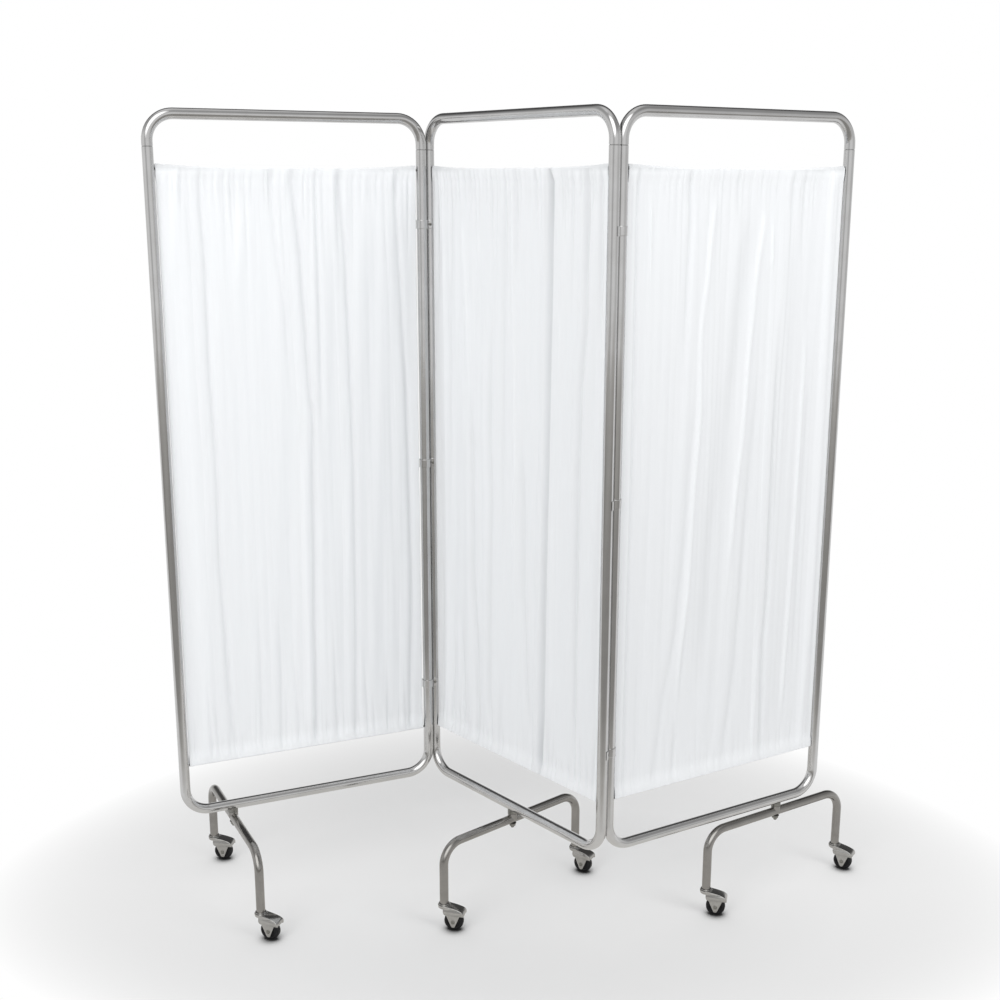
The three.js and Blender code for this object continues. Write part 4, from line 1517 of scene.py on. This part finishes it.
    def room(self) -> None:
        """Surrounds the screen with pale walls. Metal also mirrors a dark zone behind and a bright panel."""
        made = bpy.data.worlds.new("room")
        bpy.context.scene.world = made
        nodes = Nodes(made)
        ray, mirrored = nodes.add("TexCoord").outputs["Generated"], nodes.ray("Glossy")
        parts = nodes.add("SeparateXYZ", {0: ray}).outputs
        turn = nodes.maths("ARCTAN2", parts["Y"], parts["X"])
        walls = nodes.ramp(nodes.maths("MULTIPLY_ADD", turn, 1 / (2 * math.pi), 0.5), WALL_STOPS)
        levels = nodes.ramp(nodes.maths("MAXIMUM", parts["Z"], 0.0), HEIGHT_STOPS)
        colour = nodes.mix(1.0, walls, levels, "MULTIPLY")
        # The dark zone shows only in mirrors and shades nothing: painted dark reflections
        high = nodes.spread(parts["Z"], 0.14, 0.34, 0.0, 1.0)
        rear = nodes.spread(parts["Y"], 0.25, 0.6, 0.0, 0.85)
        dark = nodes.maths("MULTIPLY", nodes.maths("MULTIPLY", high, rear), mirrored)
        colour = nodes.mix(dark, colour, linear("#2b2b2c"))
        # The bright panel shows only in mirrors and lights nothing: painted highlights
        aim = nodes.add("VectorMath", {0: ray, 1: self.bright_panel}, operation="DOT_PRODUCT")
        near = nodes.spread(aim.outputs["Value"], 0.85, 0.92, 0.0, 1.0)
        bright = nodes.maths("MULTIPLY", near, mirrored)
        colour = nodes.mix(bright, colour, (*[self.panel_level] * 3, 1))
        deep = nodes.spread(parts["Y"], 0.86, 0.93, 0.0, 1.0)
        low = nodes.spread(parts["Z"], 0.14, 0.2, 1.0, 0.0)
        colour = nodes.mix(self.seen(nodes, nodes.maths("MULTIPLY", deep, low)), colour, WHITE)
        # Cloth gets more light from behind, where the lamps don't reach
        rear_light = nodes.spread(parts["Y"], 0.1, 0.6, 0.0, 0.75)
        strength = nodes.maths("MULTIPLY_ADD", nodes.ray("Diffuse"), rear_light, 1.0)
        sky = nodes.add("Background", {"Color": colour, "Strength": strength}).outputs[0]
        nodes.add("OutputWorld", {"Surface": sky})


@dataclass
class WardScreen:
    """The whole screen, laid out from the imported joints."""

    headings: tuple[float, float, float] = (24.7, -50.4, 31.6)
    lean: float = 10.0
    hinge_inset: float = 0.215
    open_margin: float = 0.0122
    hinged_margin: float = 0.0136
    bodies: tuple[str, str, str] = ("left_panel", "middle_panel", "right_panel")

    def __post_init__(self) -> None:
        """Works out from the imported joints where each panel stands."""
        self.joints = {joint["name"]: joint for joint in frame["joints"]}
        left_ring, right_ring = self.plan("hinge12_fold"), self.plan("hinge23_fold")
        self.corner = left_ring - heading_vector(self.ring_degrees(Side.LEFT)) * RING_SPACING
        self.far = right_ring - heading_vector(self.ring_degrees(Side.RIGHT)) * RING_SPACING
        starts = (left_ring - heading_vector(self.headings[0]) * SIZES.width, self.corner, right_ring)
        self.spots = [Spot(at, degrees) for at, degrees in zip(starts, self.headings)]

    def plan(self, joint: str) -> Vector:
        """Where a joint stands on the floor plan."""
        return Vector((*self.joints[joint]["pos_m"][:2], 0.0))

    def ring_degrees(self, side: Side) -> float:
        """The heading from the middle panel's upright to the ring beside it."""
        return self.headings[1] + side.value * 90 + self.lean

    def build(self) -> None:
        """Makes every piece of the screen, in order."""
        hinged = self.hinged_margin
        margins = ((self.open_margin, hinged), (hinged, hinged), (hinged, self.open_margin))
        panels = zip(self.spots, self.bodies, DRAPES, margins)
        for number, (spot, body, drape, margin) in enumerate(panels, 1):
            PanelFrame(number, spot, body).build()
            Curtain(number, spot, body, drape, *margin).build()
            self.leg(number, spot, body)
        heights = {
            "top": SIZES.top - self.hinge_inset,
            "middle": SIZES.rail + SIZES.height / 2,
            "bottom": SIZES.rail + self.hinge_inset,
        }
        for place, height in heights.items():
            for line, side, at in (("hinge12", Side.LEFT, self.corner), ("hinge23", Side.RIGHT, self.far)):
                HingeClip(line, place, Spot(at, self.ring_degrees(side)), height).build()
        for name, node in frame["nodes"].items():
            if name.endswith("_rod"):
                node.data.materials.clear()
                node.data.materials.append(ZINC_STEEL.material())

    def leg(self, number: int, spot: Spot, body: str) -> None:
        """Makes one leg with its casters.

        Args:
            number: The panel that it stands under.
            spot: That panel's place.
            body: That panel's body.
        """
        name = f"leg{number}"
        pivot = self.plan(f"{name}_swivel")
        feet = {end: self.plan(f"{name}_{end}_caster_swivel") for end in ("front", "rear")}
        run = feet["front"] - feet["rear"]
        degrees = math.degrees(math.atan2(run.y, run.x))
        BowLeg(number, Spot(pivot, degrees), Spot(pivot, spot.degrees), body).build()
        for end, foot in feet.items():
            axis = self.joints[f"{name}_{end}_wheel_spin"]["axis"]
            heading = math.degrees(math.atan2(-axis[0], axis[1]))
            Caster(f"{name}_{end}_caster", Spot(foot, heading), name).build()


def main() -> None:
    """Builds the screen and its studio."""
    logging.basicConfig(level=logging.INFO, format="%(message)s")
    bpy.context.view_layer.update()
    screen = WardScreen()
    screen.build()
    Studio(screen.corner).build()
    bpy.context.scene.view_settings.view_transform = "Standard"
    bpy.context.view_layer.update()


if __name__ == "__main__":
    main()
